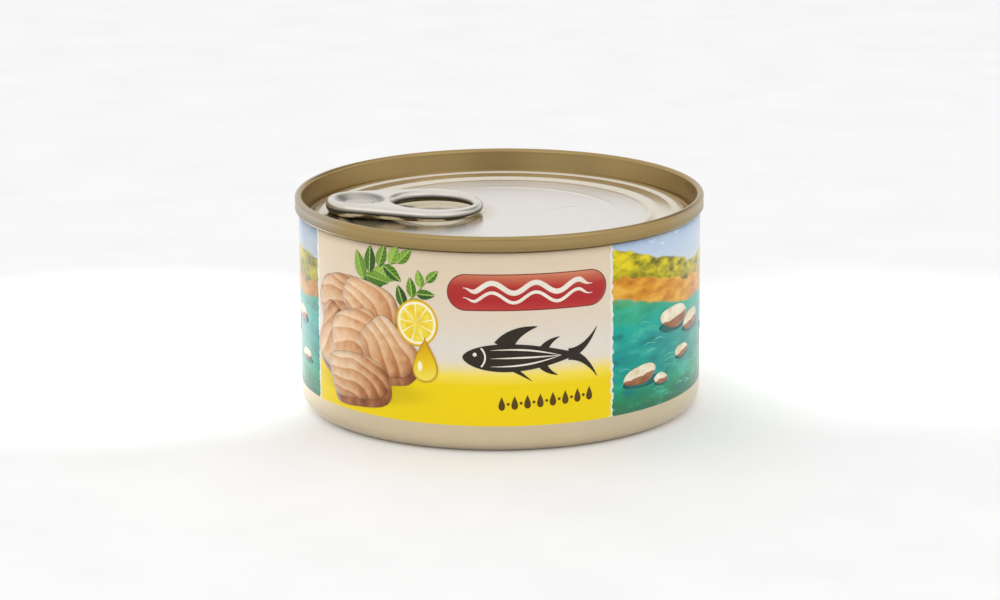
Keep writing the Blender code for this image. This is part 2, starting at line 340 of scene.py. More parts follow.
# %% [markdown]
# The print wraps the wall. Its ground is a cream panel that melts into yellow, with a narrow pale deckle down
# each side. Between the panels lies a strip of coast in plain fields: sky, sunlit scrub, a bank of sand, then
# water that grows deeper towards the foot. The same sheet is printed twice round the can. The ground could be
# an image, but fields with formulas stay sharp at any distance: each border is a height or an arc length that
# sines and a noise push about. Below the print the tin is bare, so Metallic follows the same mask.

# %% Print layout
PRINT_FOOT = 5.83
HALF_TURN = math.pi * BODY_RADIUS
PANEL_START = math.radians(-62.4) * BODY_RADIUS
PANEL_END = math.radians(32.6) * BODY_RADIUS
PANEL_WIDTH = PANEL_END - PANEL_START
DECKLE_WIDTH = 0.55
VARNISH_IOR = 1.3
VARNISH_HAZE = 0.6
CREAM_STOPS = (
    (5.8, (241, 211, 0)), (14.2, (241, 211, 0)), (16.4, (246, 222, 84)), (19.2, (230, 220, 202)),
    (22.0, (226, 219, 209)), (28.0, (226, 211, 191)), (35.0, (225, 208, 182)), (42.2, (222, 203, 176)),
)
WATER_STOPS = (
    (5.8, (56, 116, 82)), (8.2, (42, 134, 90)), (11.0, (30, 156, 118)), (15.0, (22, 150, 138)),
    (20.0, (22, 150, 144)), (24.5, (28, 170, 152)), (28.0, (60, 166, 116)), (30.0, (112, 160, 84)),
)
SKY_STOPS = ((34.0, (200, 212, 222)), (38.5, (190, 207, 228)), (42.2, (172, 196, 224)))
SHADE_CENTRE = (-30.0, 11.4)
SHADE_HALF = (18.0, 3.6)
print(f"cream panel {PANEL_WIDTH:.1f} mm wide, print from {PRINT_FOOT} mm up")


def height_ramp(tree, height, stops):
    """A ramp over height in millimetres; ColorRamp positions run from 0 to 1 over the can's height."""
    share = calc(tree, "DIVIDE", height, CAN_HEIGHT)
    return ramp(tree, share, [(z / CAN_HEIGHT, ink(*colour)) for z, colour in stops])


def swell(tree, across, *waves):
    """A sum of sines along the print, each given as (height, length, start)."""
    total = 0.0
    for size, length, start in waves:
        turn = calc(tree, "SINE", calc(tree, "MULTIPLY_ADD", across, 1.0 / length, start))
        total = calc(tree, "MULTIPLY_ADD", turn, size, total)
    return total


def noise(tree, position, scale, detail, stretch=(1.0, 1.0, 1.0)):
    """Noise from 0 to 1 on Object coordinates, drawn out along an axis by a smaller stretch."""
    place = add(tree, "ShaderNodeMapping", {"Vector": position, "Scale": stretch}).outputs[0]
    return add(tree, "ShaderNodeTexNoise", {"Vector": place, "Scale": scale, "Detail": detail}).outputs[0]


def above(tree, height, middle, waves, rough, share, width):
    """A mask that is 1 above middle + waves + share * (rough - 0.5)."""
    border = calc(tree, "MULTIPLY_ADD", calc(tree, "SUBTRACT", rough, 0.5), share, middle)
    return soft_edge(tree, calc(tree, "SUBTRACT", height, calc(tree, "ADD", border, waves)), 0.0, width)


def water_colours(tree, height, position):
    """Water over its depth ramp, stirred a little, with long light and dark ripples."""
    ripple = noise(tree, position, 170.0, 4.0, (1.0, 1.0, 2.2))
    depth = noise(tree, position, 90.0, 2.0, (1.0, 1.0, 2.0))
    stirred = calc(tree, "MULTIPLY_ADD", calc(tree, "SUBTRACT", depth, 0.5), 7.0, height)
    water = height_ramp(tree, stirred, WATER_STOPS)
    water = mix(tree, soft_edge(tree, ripple, 0.62, 0.26), water, ink(64, 184, 160))
    return mix(tree, soft_edge(tree, ripple, 0.38, -0.24), water, ink(18, 120, 116))


def scrub_colours(tree, fine, clumps):
    """Rounded bushes in sun and shade: a ramp over two sizes of noise."""
    tone = calc(tree, "MULTIPLY_ADD", fine, 0.45, calc(tree, "MULTIPLY", clumps, 0.55))
    return ramp(tree, tone, [
        (0.34, ink(92, 92, 22)), (0.42, ink(138, 132, 20)),
        (0.50, ink(190, 177, 16)), (0.60, ink(228, 208, 28)),
    ])


def shore_colours(tree, across, height, position):
    """Sky, two lines of scrub, sand and water as fields, one above the other.

    Along the strip, falling lets the hills sink after its start, and rising lets them climb again towards its
    end. The upper half is a little darker at that end.
    """
    fine = noise(tree, position, 520.0, 3.0, (1.0, 1.0, 1.5))
    clumps = noise(tree, position, 190.0, 1.0, (1.0, 1.0, 1.9))
    broad = noise(tree, position, 60.0, 2.0, (1.0, 1.0, 2.4))
    streaks = noise(tree, position, 210.0, 4.0, (1.0, 1.0, 2.6))
    sand = ramp(tree, streaks, [
        (0.30, ink(190, 112, 28)), (0.48, ink(214, 144, 34)), (0.66, ink(232, 178, 66)),
    ])
    near = scaled(tree, scrub_colours(tree, fine, clumps), 0.72)
    clear = height_ramp(tree, height, SKY_STOPS)
    sky = mix(tree, soft_edge(tree, broad, 0.58, 0.22), clear, ink(216, 222, 230))
    falling = soft_edge(tree, across, 18.0, 36.0)
    rising = soft_edge(tree, across, 44.0, 18.0)
    bank = swell(tree, across, (0.5, 5.4, 1.5), (0.25, 2.4, 1.0))
    bank = calc(tree, "MULTIPLY_ADD", falling, -4.6, bank)
    bank = calc(tree, "MULTIPLY_ADD", rising, 1.8, bank)
    low_scrub = swell(tree, across, (0.5, 7.0, 1.4), (0.4, 3.2, 0.0))
    low_scrub = calc(tree, "MULTIPLY_ADD", falling, -3.7, low_scrub)
    skyline = swell(tree, across, (0.5, 6.0, 1.57), (0.4, 3.1, 2.0))
    skyline = calc(tree, "MULTIPLY_ADD", falling, -6.4, skyline)
    skyline = calc(tree, "MULTIPLY_ADD", rising, 2.6, skyline)
    water = water_colours(tree, height, position)
    colour = mix(tree, above(tree, height, 29.5, bank, fine, 1.4, 0.7), water, sand)
    colour = mix(tree, above(tree, height, 33.9, low_scrub, clumps, 3.5, 0.5), colour, near)
    upper = above(tree, height, 35.0, low_scrub, clumps, 5.0, 0.8)
    colour = mix(tree, upper, colour, scrub_colours(tree, fine, clumps))
    colour = mix(tree, above(tree, height, 39.9, skyline, clumps, 2.8, 0.5), colour, sky)
    far = calc(tree, "MULTIPLY", soft_edge(tree, across, 50.0, 12.0), soft_edge(tree, height, 26.0, 6.0))
    return scaled(tree, colour, calc(tree, "MULTIPLY_ADD", far, -0.28, 1.0))


def varnish(tree, shader, position, colour, printed=1.0):
    """Ink under clear varnish: a little mottled, satin, hazy when seen along the surface, slightly raised."""
    film = use_group(tree, INK_FILM, position)
    shader.inputs["IOR"].default_value = VARNISH_IOR
    shader.inputs["Sheen Weight"].default_value = VARNISH_HAZE
    shader.inputs["Sheen Roughness"].default_value = 0.3
    add_bump(tree, shader, calc(tree, "MULTIPLY_ADD", printed, 0.5, film.outputs["Height"]), 0.00002, 0.4)
    return scaled(tree, colour, film.outputs["Tone"])


def food_shadow(tree, from_start, height):
    """A soft shade on the panel under the printed slices: darker inside an oval, fading over its edge."""
    from_middle = calc(tree, "SUBTRACT", from_start, SHADE_CENTRE[0] - PANEL_START)
    right = calc(tree, "DIVIDE", from_middle, SHADE_HALF[0])
    up = calc(tree, "DIVIDE", calc(tree, "SUBTRACT", height, SHADE_CENTRE[1]), SHADE_HALF[1])
    place = add(tree, "ShaderNodeCombineXYZ", {0: right, 1: up}).outputs[0]
    reach = add(tree, "ShaderNodeVectorMath", {0: place}, operation="LENGTH")
    return calc(tree, "MULTIPLY_ADD", soft_edge(tree, reach.outputs["Value"], 0.75, -0.6), -0.22, 1.0)


def printed_wall_material():
    """The wall's whole finish: print fields above PRINT_FOOT, bare lacquered tin below."""
    material, tree, shader = new_material("printed_wall")
    position = add(tree, "ShaderNodeTexCoord").outputs["Object"]
    plan = add(tree, "ShaderNodeSeparateXYZ", {0: add(tree, "ShaderNodeUVMap", uv_map="plan").outputs[0]})
    across = calc(tree, "MULTIPLY", plan.outputs[0], PLAN_UNIT)
    height = calc(tree, "MULTIPLY", plan.outputs[1], PLAN_UNIT)
    tear = noise(tree, position, 900.0, 3.0)
    torn = calc(tree, "MULTIPLY_ADD", calc(tree, "SUBTRACT", tear, 0.5), 1.5, across)
    from_start = calc(tree, "FLOORED_MODULO", calc(tree, "SUBTRACT", torn, PANEL_START), HALF_TURN)
    from_end = calc(tree, "FLOORED_MODULO", calc(tree, "SUBTRACT", across, PANEL_END), HALF_TURN)
    panel = calc(tree, "LESS_THAN", from_start, PANEL_WIDTH)
    middle = calc(tree, "ABSOLUTE", calc(tree, "SUBTRACT", from_start, PANEL_WIDTH / 2.0))
    inside = calc(tree, "LESS_THAN", middle, PANEL_WIDTH / 2.0 - DECKLE_WIDTH)
    cream = scaled(tree, height_ramp(tree, height, CREAM_STOPS), food_shadow(tree, from_start, height))
    shore = shore_colours(tree, from_end, height, position)
    colour = mix(tree, inside, mix(tree, panel, shore, ink(232, 230, 222)), cream)
    printed = calc(tree, "GREATER_THAN", height, PRINT_FOOT)
    metal = use_group(tree, SHEET_METAL, position, Grain_Scale=500.0, Stretch=1.0, Scuff_Scale=150.0)
    tin = scaled(tree, ink(212, 197, 168), calc(tree, "MULTIPLY_ADD", metal.outputs["Tone"], 0.16, 0.92))
    inked = varnish(tree, shader, position, colour, printed)
    tree.links.new(mix(tree, printed, tin, inked), shader.inputs["Base Color"])
    tree.links.new(calc(tree, "MULTIPLY_ADD", printed, -0.95, 0.95), shader.inputs["Metallic"])
    rough = calc(tree, "MULTIPLY_ADD", metal.outputs["Roughness Change"], 0.15, 0.36)
    tree.links.new(rough, shader.inputs["Roughness"])
    return material


# %% [markdown]
# The body is turned: one profile, spun round the can's axis. From the middle of the underside it runs out
# over a round stiffening bead and the recess, down to the standing ring, up round the soft corner of a drawn
# cup and straight up the wall to where the seam grips it. The print needs no modelling, so the wall has only
# a few rows, while the round corner has many.

# %% Body
CORNER_RADIUS = 3.4
STANDING_WIDTH = 2.9
BASE_RECESS = 1.1
BASE_BEAD_RADIUS = 21.0
BASE_BEAD_HALF = 2.5
BASE_BEAD_DROP = 0.5
BASE_STEP = 2.0
BODY_COLUMNS = 360
HIDDEN_EDGE = 0.6
HIDDEN_DEPTH = 3.0
WALL_TOP = body_high.z / MM


def base_height(r):
    """Height of the recessed base over its radius: a flat floor, one bead and a soft foot to the ring."""
    foot = BODY_RADIUS - CORNER_RADIUS - STANDING_WIDTH
    bead = np.cos(np.clip((r - BASE_BEAD_RADIUS) / BASE_BEAD_HALF, -1.0, 1.0) * math.pi / 2.0) ** 2
    return BASE_RECESS * (1.0 - smooth_step(foot - BASE_STEP, foot, r)) - BASE_BEAD_DROP * bead


def body_profile():
    """(r, z) from the middle of the underside to that of the hidden top, with most rows where it bends."""
    foot = BODY_RADIUS - CORNER_RADIUS - STANDING_WIDTH
    bead_start, bead_end = BASE_BEAD_RADIUS - BASE_BEAD_HALF, BASE_BEAD_RADIUS + BASE_BEAD_HALF
    inner_edge, hidden_top = BODY_RADIUS - HIDDEN_EDGE, WALL_TOP - HIDDEN_DEPTH
    r = np.concatenate([
        np.linspace(0.0, bead_start - 0.5, 7),
        np.linspace(bead_start, bead_end, 21),
        np.linspace(bead_end + 1.5, foot - BASE_STEP, 5),
        np.linspace(foot - BASE_STEP + 0.1, foot, 12),
    ])
    underside = np.stack([r, base_height(r)], axis=-1)
    centre = (BODY_RADIUS - CORNER_RADIUS, CORNER_RADIUS)
    return np.concatenate([
        underside,
        along((foot, 0.0), (centre[0], 0.0), 3),
        arc(centre, CORNER_RADIUS, -90.0, 0.0, 18),
        along((BODY_RADIUS, CORNER_RADIUS), (BODY_RADIUS, WALL_TOP), 24),
        along((BODY_RADIUS, WALL_TOP), (inner_edge, WALL_TOP), 1),
        along((inner_edge, WALL_TOP), (inner_edge, hidden_top), 2),
        along((inner_edge, hidden_top), (0.0, hidden_top), 2),
    ])


def finish_piece(piece, material, slot, *nodes):
    """Gives a piece its material, rides it on the can and hides the frame's nodes that it stands for."""
    piece.data.materials.append(material)
    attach(piece, "root")
    if nodes:
        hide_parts(*nodes)
    print(piece.name, len(piece.data.polygons), "faces")
    return piece


body = turned("body_shell", body_profile(), BODY_COLUMNS)
finish_piece(body, printed_wall_material(), "printed_wall", "can_body")

# %% [markdown]
# The small artwork on the panel is made of films: thin shapes that lie on the wall like layers of ink. They
# could be painted into the wall's material, but an edge that is a mesh stays crisp however near one looks. A
# film is drawn flat, in millimetres across and up the sheet, and then wrapped. Each level lies about a
# hundredth of a millimetre above the one before, so that later inks cover earlier ones, and the rim of each
# film dips just under the wall, so that no gap shows. Every film is laid twice, the second time half a turn
# round the can.

# %% Films of ink
FILM_STEP = 0.012
UNDER_WALL = -0.04


def wrapped(plan, lift):
    """Wraps (across, up) in mm on the wall: the angle is across / radius, the reach is radius + lift."""
    angle = plan[..., 0] / BODY_RADIUS
    reach = BODY_RADIUS + lift
    return np.stack([reach * np.sin(angle), -reach * np.cos(angle), plan[..., 1]], axis=-1)


def turned_plan(plan, turn):
    """Rotates flat points by a turn in degrees."""
    c, s = math.cos(math.radians(turn)), math.sin(math.radians(turn))
    return plan @ np.array([[c, s], [-s, c]])


def filled(outline, level, turn=0.0, shade=0.5, centre=None, rings=8):
    """A film inside an outline: centre + rho * (outline - centre), for rho from 0 to 1 in rings.

    Its own coordinates are measured in mm from the centre, along and across the turn.
    """
    outline = np.asarray(outline, float)
    centre = outline.mean(axis=0) if centre is None else np.asarray(centre, float)
    count = len(outline)
    rho = np.append(np.arange(1, rings + 1) / rings, 1.0)
    plan = (centre + rho[:, None, None] * (outline - centre)).reshape(-1, 2)
    plan = np.concatenate([plan, [centre]])
    lift = np.repeat(np.append(np.full(rings, level * FILM_STEP), UNDER_WALL), count)
    row, column = grid_corners(rings, count)
    quads = (row * count + column % count)[:, ::-1]
    step = np.arange(count)
    fan = np.stack([np.full(count, len(plan) - 1), step, (step + 1) % count], axis=-1)
    return {
        "points": wrapped(plan, np.append(lift, level * FILM_STEP)),
        "faces": quads.tolist() + fan.tolist(),
        "own": turned_plan(plan - centre, -turn),
        "rim": np.append(np.repeat(rho, count), 0.0),
        "shade": np.full(len(plan), shade),
    }


def stroke(path, width, level, shade=0.5, columns=4):
    """A film along a path, like one pull of a brush: path + normal * width * v, for v from 1/2 to -1/2."""
    path = np.asarray(path, float)
    run = np.gradient(path, axis=0)
    run = run / np.hypot(*run.T)[:, None]
    normal = np.stack([-run[:, 1], run[:, 0]], axis=-1)
    width = np.broadcast_to(width, len(path))
    share = np.concatenate([[0.5], np.linspace(0.5, -0.5, columns), [-0.5]])
    rows = np.concatenate([[0], np.arange(len(path)), [len(path) - 1]])
    reach = width[rows, None] * share
    plan = path[rows, None] + normal[rows, None] * reach[..., None]
    lift = np.full(reach.shape, level * FILM_STEP)
    lift[[0, -1]] = UNDER_WALL
    lift[:, [0, -1]] = UNDER_WALL
    length = np.append(0.0, np.cumsum(np.hypot(*np.diff(path, axis=0).T)))[rows]
    row, column = grid_corners(len(rows) - 1, len(share) - 1)
    return {
        "points": wrapped(plan, lift).reshape(-1, 3),
        "faces": (row * len(share) + column).tolist(),
        "own": np.stack([np.broadcast_to(length[:, None], reach.shape), reach], axis=-1).reshape(-1, 2),
        "rim": np.broadcast_to(np.abs(share) * 2.0, reach.shape).ravel(),
        "shade": np.full(reach.size, shade),
    }


def printed_piece(name, material, films):
    """Joins films into one piece on both halves of the sheet, with their own coordinates, rim and shade."""
    both = [(film, half) for half in (1.0, -1.0) for film in films]
    starts = np.cumsum([0] + [len(film["points"]) for film, half in both])
    points = np.concatenate([film["points"] * (half, half, 1.0) for film, half in both])
    faces = [
        [start + corner for corner in face]
        for (film, half), start in zip(both, starts) for face in film["faces"]
    ]
    own = np.concatenate([film["own"] for film, half in both]) / PLAN_UNIT
    piece = mesh_object(name, points, faces, own[np.concatenate([np.array(face) for face in faces])])
    for label in ("rim", "shade"):
        values = np.concatenate([film[label] for film, half in both]).astype(np.float32)
        piece.data.attributes.new(label, "FLOAT", "POINT").data.foreach_set("value", values)
    return finish_piece(piece, material, "printed_wall")


def film_material(name, paint):
    """A varnished ink. paint(tree, along, across, rim, shade, position) works out its colour."""
    material, tree, shader = new_material(name)
    position = add(tree, "ShaderNodeTexCoord").outputs["Object"]
    own = add(tree, "ShaderNodeSeparateXYZ", {0: add(tree, "ShaderNodeUVMap", uv_map="plan").outputs[0]})
    along = calc(tree, "MULTIPLY", own.outputs[0], PLAN_UNIT)
    across = calc(tree, "MULTIPLY", own.outputs[1], PLAN_UNIT)
    rim = add(tree, "ShaderNodeAttribute", attribute_name="rim").outputs["Fac"]
    shade = add(tree, "ShaderNodeAttribute", attribute_name="shade").outputs["Fac"]
    colour = varnish(tree, shader, position, paint(tree, along, across, rim, shade, position))
    tree.links.new(colour, shader.inputs["Base Color"])
    shader.inputs["Roughness"].default_value = 0.38
    return material


# %% [markdown]
# Most outlines are ovals that are pulled about a little. Real things are uneven, so each has its own small
# bumps: the radius is one plus a few cosines whose starts come from a seeded draw.

# %% Outlines
def oval(centre, half, turn=0.0, bumps=0.0, seed=0, count=72, square=1.0):
    """An uneven oval: half lengths times (cos t, sin t) times 1 + bumps * cosines of 2t to 5t, then turned.

    square below 1 raises both parts to that power, which fills out the corners.
    """
    draw = np.random.default_rng(seed)
    t = math.tau * np.arange(count) / count
    pull = sum(np.cos(k * t + draw.uniform(0.0, math.tau)) / k for k in (2, 3, 4, 5))
    way = np.stack([np.cos(t), np.sin(t)], axis=-1)
    way = np.sign(way) * np.abs(way) ** square
    return np.array(centre) + turned_plan(way * half * (1.0 + bumps * pull)[:, None], turn)


def leaf(foot, length, width, turn, count=28):
    """A pointed leaf from its foot: each side is width / 2 * sin(pi u^0.8)^0.85, widest before its middle."""
    u = np.linspace(0.0, 1.0, count)
    side = 0.5 * width * np.sin(math.pi * u ** 0.8) ** 0.85
    lower = np.stack([u * length, -side], axis=-1)[:-1]
    upper = np.stack([u * length, side], axis=-1)[::-1][:-1]
    return np.array(foot) + turned_plan(np.concatenate([lower, upper]), turn)


def curve(points, count):
    """A smooth path: straight pieces between the points, rounded by averaging neighbours several times."""
    points = np.asarray(points, float)
    way = np.linspace(0.0, len(points) - 1.0, count)
    path = np.stack([np.interp(way, np.arange(len(points)), points[:, k]) for k in (0, 1)], axis=-1)
    for _ in range(count // 3):
        path[1:-1] = 0.25 * path[:-2] + 0.5 * path[1:-1] + 0.25 * path[2:]
    return path


# %% [markdown]
# The food on the left of the panel is slices of cooked fillet, laid like roof tiles. Cooked fish parts into
# curved flakes, so the slice's ink is a family of arcs: the distance from a point outside the slice, pushed
# about by noise, is cut into even steps. Light comes from the upper left. A darker film that peeps out below
# each slice is its cut side, and that alone makes the slice look thick.

# %% Slices of fillet
SLICES = (
    ((-38.2, 29.6), (6.9, 4.6), 20.0), ((-28.8, 29.2), (7.0, 4.9), -20.0), ((-40.4, 20.6), (6.8, 4.9), 66.0),
    ((-33.0, 21.8), (7.8, 5.4), 14.0), ((-24.4, 20.6), (7.2, 5.2), -38.0), ((-33.0, 13.4), (8.8, 4.8), 4.0),
)
CUT_SIDE = (0.7, -1.6)
FLAKE_WIDTH = 2.5


def slice_paint(tree, along, across, rim, shade, position):
    """Curved flakes that overlap like shingles: each is pale at its front edge and browner towards the next.

    The distance from a point outside the slice, bent by slow noise, is cut into equal steps; the part left
    over in each step is the place across one flake. Fine fibres run over all of it.
    """
    slow = noise(tree, position, 85.0, 1.0)
    fibre = noise(tree, position, 620.0, 3.0)
    from_point = {0: calc(tree, "ADD", along, 6.0), 1: calc(tree, "ADD", across, 15.0)}
    far = add(tree, "ShaderNodeCombineXYZ", from_point)
    reach = add(tree, "ShaderNodeVectorMath", {0: far.outputs[0]}, operation="LENGTH").outputs["Value"]
    pushed = calc(tree, "MULTIPLY_ADD", slow, 6.5, reach)
    flake = calc(tree, "FRACT", calc(tree, "DIVIDE", pushed, FLAKE_WIDTH))
    front = soft_edge(tree, flake, 0.10, 0.20)
    light = calc(tree, "MULTIPLY_ADD", calc(tree, "SUBTRACT", across, along), 0.024, 0.60)
    tone = calc(tree, "MULTIPLY_ADD", flake, -0.34, calc(tree, "MULTIPLY_ADD", fibre, 0.34, light))
    tone = calc(tree, "MULTIPLY", tone, calc(tree, "MULTIPLY_ADD", front, 0.45, 0.55))
    colour = ramp(tree, tone, [
        (0.18, ink(140, 78, 44)), (0.36, ink(178, 116, 72)), (0.52, ink(208, 156, 110)),
        (0.72, ink(226, 188, 148)), (0.90, ink(240, 212, 182)),
    ])
    edge = calc(tree, "MULTIPLY_ADD", soft_edge(tree, rim, 0.88, 0.24), -0.20, 1.02)
    # Painted shade: the skirt, where the film's rim dips under the wall, is darker, to hold down the sheen it
    # catches.
    edge = calc(tree, "MULTIPLY_ADD", soft_edge(tree, rim, 0.99, 0.02), -0.40, edge)
    return scaled(tree, colour, calc(tree, "MULTIPLY", edge, calc(tree, "MULTIPLY_ADD", shade, 0.2, 0.92)))


def side_paint(tree, along, across, rim, shade, position):
    """The cut side of a slice: streaked brown."""
    streaks = noise(tree, position, 420.0, 3.0, (1.0, 1.0, 0.5))
    return ramp(tree, streaks, [
        (0.32, ink(118, 66, 40)), (0.56, ink(158, 98, 60)), (0.75, ink(188, 130, 88)),
    ])


tops, sides = [], []
for number, (centre, half, turn) in enumerate(SLICES):
    shape = oval(centre, half, turn, 0.11, number + 3, 96, 0.72)
    level = 4.0 + 1.2 * number
    tops.append(filled(shape, level, turn, 0.2 + 0.6 * ((number * 5) % 8) / 8.0, centre))
    sides.append(filled(shape + CUT_SIDE, level - 0.6, turn, 0.5, np.add(centre, CUT_SIDE), 5))
printed_piece("print_slice_sides", film_material("ink_slice_side", side_paint), sides)
printed_piece("print_slices", film_material("ink_slice", slice_paint), tops)

# %% [markdown]
# Herbs, half a lemon and a drop of oil go with the slices. Each leaf is two curves that meet in a point, with
# the paler midrib and slanting veins worked out from its own coordinates. The lemon's cut face is rings over
# its rim value: rind, pith, then flesh that is parted by pale lines at even angles.

# %% Herbs, lemon and oil
SPRIGS = (
    (((-31.5, 32.0), (-29.6, 35.4), (-26.4, 37.6), (-21.6, 38.8)), 9, 6.4),
    (((-21.4, 27.6), (-19.8, 30.4), (-17.6, 32.6), (-15.2, 35.4)), 7, 5.0),
)
STEM_POINTS = 40
FIRST_LEAF, LEAF_SPAN = 5, 34
LEMON_CENTRE, LEMON_HALF, LEMON_TURN = (-17.4, 26.8), (4.6, 4.9), 14.0
OIL_CENTRE, OIL_BELLY = (-15.6, 19.2), (-15.6, 17.4)


def leaf_paint(tree, along, across, rim, shade, position):
    """Leaf green with a pale midrib, slanting veins and a darker lower half."""
    side = calc(tree, "ABSOLUTE", across)
    slanting = calc(tree, "SUBTRACT", along, calc(tree, "MULTIPLY", side, 0.9))
    veins = calc(tree, "SINE", calc(tree, "MULTIPLY", slanting, 6.5))
    tone = calc(tree, "MULTIPLY_ADD", veins, 0.10, calc(tree, "MULTIPLY_ADD", shade, 0.62, 0.16))
    tone = calc(tree, "MULTIPLY_ADD", soft_edge(tree, across, 0.0, 0.16), 0.20, tone)
    colour = ramp(tree, tone, [
        (0.1, ink(36, 68, 22)), (0.38, ink(62, 108, 26)),
        (0.62, ink(108, 152, 40)), (0.95, ink(160, 192, 84)),
    ])
    return mix(tree, soft_edge(tree, side, 0.12, -0.14), colour, ink(168, 192, 104))


def stem_paint(tree, along, across, rim, shade, position):
    """Stalk green, lighter along its middle."""
    tint = noise(tree, position, 300.0, 2.0)
    light = ramp(tree, tint, [(0.3, ink(130, 164, 66)), (0.7, ink(160, 186, 90))])
    return mix(tree, rim, light, ink(72, 108, 34))


stems, leaves = [], []
for number, (points, pairs, size) in enumerate(SPRIGS):
    path = curve(points, STEM_POINTS)
    stems.append(stroke(path, np.linspace(0.55, 0.16, STEM_POINTS), 3 + number))
    for step in range(pairs):
        spot = FIRST_LEAF + int(LEAF_SPAN * step / (pairs - 1))
        place = path[spot]
        right, up = path[min(STEM_POINTS - 1, spot + 3)] - place + 1e-6
        heading = math.degrees(math.atan2(up, right))
        tilt = heading + (0.0 if step == pairs - 1 else (52.0 if step % 2 else -50.0))
        grown = size * (1.0 - 0.32 * step / pairs)
        shape = leaf(place, grown, grown * 0.5, tilt)
        middle = place + turned_plan(np.array([[grown * 0.45, 0.0]]), tilt)[0]
        level = 4 + (step * 3 + number) % 5
        leaves.append(filled(shape, level, tilt, ((step * 7 + number * 3) % 10) / 10.0, middle, 6))
printed_piece("print_stems", film_material("ink_stem", stem_paint), stems)
printed_piece("print_leaves", film_material("ink_leaf", leaf_paint), leaves)


def lemon_paint(tree, along, across, rim, shade, position):
    """Rind, pith and flesh over the rim value, with pale walls between the segments."""
    angle = calc(tree, "ARCTAN2", across, along)
    walls = calc(tree, "ABSOLUTE", calc(tree, "SINE", calc(tree, "MULTIPLY", angle, 4.5)))
    wet = noise(tree, position, 500.0, 2.0)
    flesh = ramp(tree, wet, [(0.3, ink(232, 196, 30)), (0.55, ink(242, 216, 66)), (0.8, ink(250, 236, 130))])
    flesh = mix(tree, soft_edge(tree, walls, 0.20, -0.16), flesh, ink(250, 242, 196))
    pith = mix(tree, soft_edge(tree, rim, 0.80, 0.05), flesh, ink(250, 243, 208))
    return mix(tree, soft_edge(tree, rim, 0.91, 0.04), pith, ink(228, 180, 8))


def oil_paint(tree, along, across, rim, shade, position):
    """Golden oil: pale where light gathers low in the drop, amber round its rim and near its tip."""
    low = calc(tree, "MULTIPLY_ADD", across, -0.09, 0.42)
    streak = noise(tree, position, 120.0, 1.0)
    tone = calc(tree, "MULTIPLY_ADD", streak, 0.35, calc(tree, "SUBTRACT", low, 0.12))
    body = ramp(tree, tone, [(0.1, ink(214, 166, 8)), (0.4, ink(234, 200, 20)), (0.7, ink(244, 224, 88))])
    body = mix(tree, soft_edge(tree, rim, 0.90, 0.22), body, ink(196, 146, 6))
    glint_across = calc(tree, "MULTIPLY", calc(tree, "SUBTRACT", across, 0.4), 0.5)
    glint = add(tree, "ShaderNodeCombineXYZ", {0: calc(tree, "ADD", along, 1.1), 1: glint_across})
    near = add(tree, "ShaderNodeVectorMath", {0: glint.outputs[0]}, operation="LENGTH").outputs["Value"]
    return mix(tree, soft_edge(tree, near, 0.50, -0.30), body, ink(252, 246, 206))


def drop(centre, half_width, height, count=64):
    """A drop with its tip up: across = -half_width * sin t * sin(t / 2)^1.5, up = height / 2 * cos t."""
    t = math.tau * np.arange(count) / count
    taper = np.abs(np.sin(t / 2.0)) ** 1.5
    return np.array(centre) + np.stack([-half_width * np.sin(t) * taper, 0.5 * height * np.cos(t)], axis=-1)


lemon = oval(LEMON_CENTRE, LEMON_HALF, LEMON_TURN, 0.012, 5, 96)
lemon_film = filled(lemon, 9, LEMON_TURN, rings=14)
oil_film = filled(drop(OIL_CENTRE, 3.9, 9.4), 15, centre=OIL_BELLY, rings=10)
printed_piece("print_lemon", film_material("ink_lemon", lemon_paint), [lemon_film])
printed_piece("print_oil_drop", film_material("ink_oil", oil_paint), [oil_film])

# %% [markdown]
# On the right of the panel come a red band with a running wave, a dark fish and a row of small drops. The
# band is a capsule: a straight run with half circles at its ends. A wider, darker capsule under it is its
# outline, and the wave is two strokes that follow one sine and fade out at both ends.

# %% Red band with a running wave
BAND_CENTRE = (5.9, 33.8)
BAND_HALF = (16.7, 3.8)
BAND_OUTLINE = 0.18
WAVE_HALF_LENGTH, WAVE_HEIGHT, WAVE_LENGTH = 13.4, 1.05, 8.9


def capsule(centre, half, count=40):
    """A straight run with half circles at both ends, anticlockwise."""
    swing = np.radians(np.linspace(-90.0, 90.0, count))
    run = half[0] - half[1]
    right = np.stack([run + half[1] * np.cos(swing), half[1] * np.sin(swing)], axis=-1)
    top = np.stack([np.linspace(run, -run, count + 2)[1:-1], np.full(count, half[1])], axis=-1)
    return np.array(centre) + np.concatenate([right, top, -right, -top])


def band_paint(tree, along, across, rim, shade, position):
    """Red ink that turns to a soft orange light along the upper edge."""
    tone = calc(tree, "MULTIPLY_ADD", across, 0.115, 0.5)
    lowered = calc(tree, "SUBTRACT", tone, 0.08)
    patchy = calc(tree, "MULTIPLY_ADD", noise(tree, position, 60.0, 1.0), 0.16, lowered)
    return ramp(tree, patchy, [
        (0.06, ink(190, 62, 58)), (0.30, ink(176, 40, 42)), (0.62, ink(178, 50, 46)),
        (0.82, ink(198, 104, 78)), (0.97, ink(212, 142, 106)),
    ])


def plain_paint(dark, light):
    """A plain ink with just a breath of mottle between two close colours."""
    def paint(tree, along, across, rim, shade, position):
        """Noise between the two colours; it needs only the position."""
        return ramp(tree, noise(tree, position, 350.0, 2.0), [(0.3, ink(*dark)), (0.7, ink(*light))])
    return paint


cream_ink = film_material("ink_cream", plain_paint((232, 220, 204), (244, 236, 224)))
dark_ink = film_material("ink_dark", plain_paint((40, 34, 26), (50, 43, 33)))
edge_ink = film_material("ink_band_edge", plain_paint((112, 38, 30), (134, 50, 38)))
brown_ink = film_material("ink_brown", plain_paint((84, 60, 6), (98, 72, 12)))

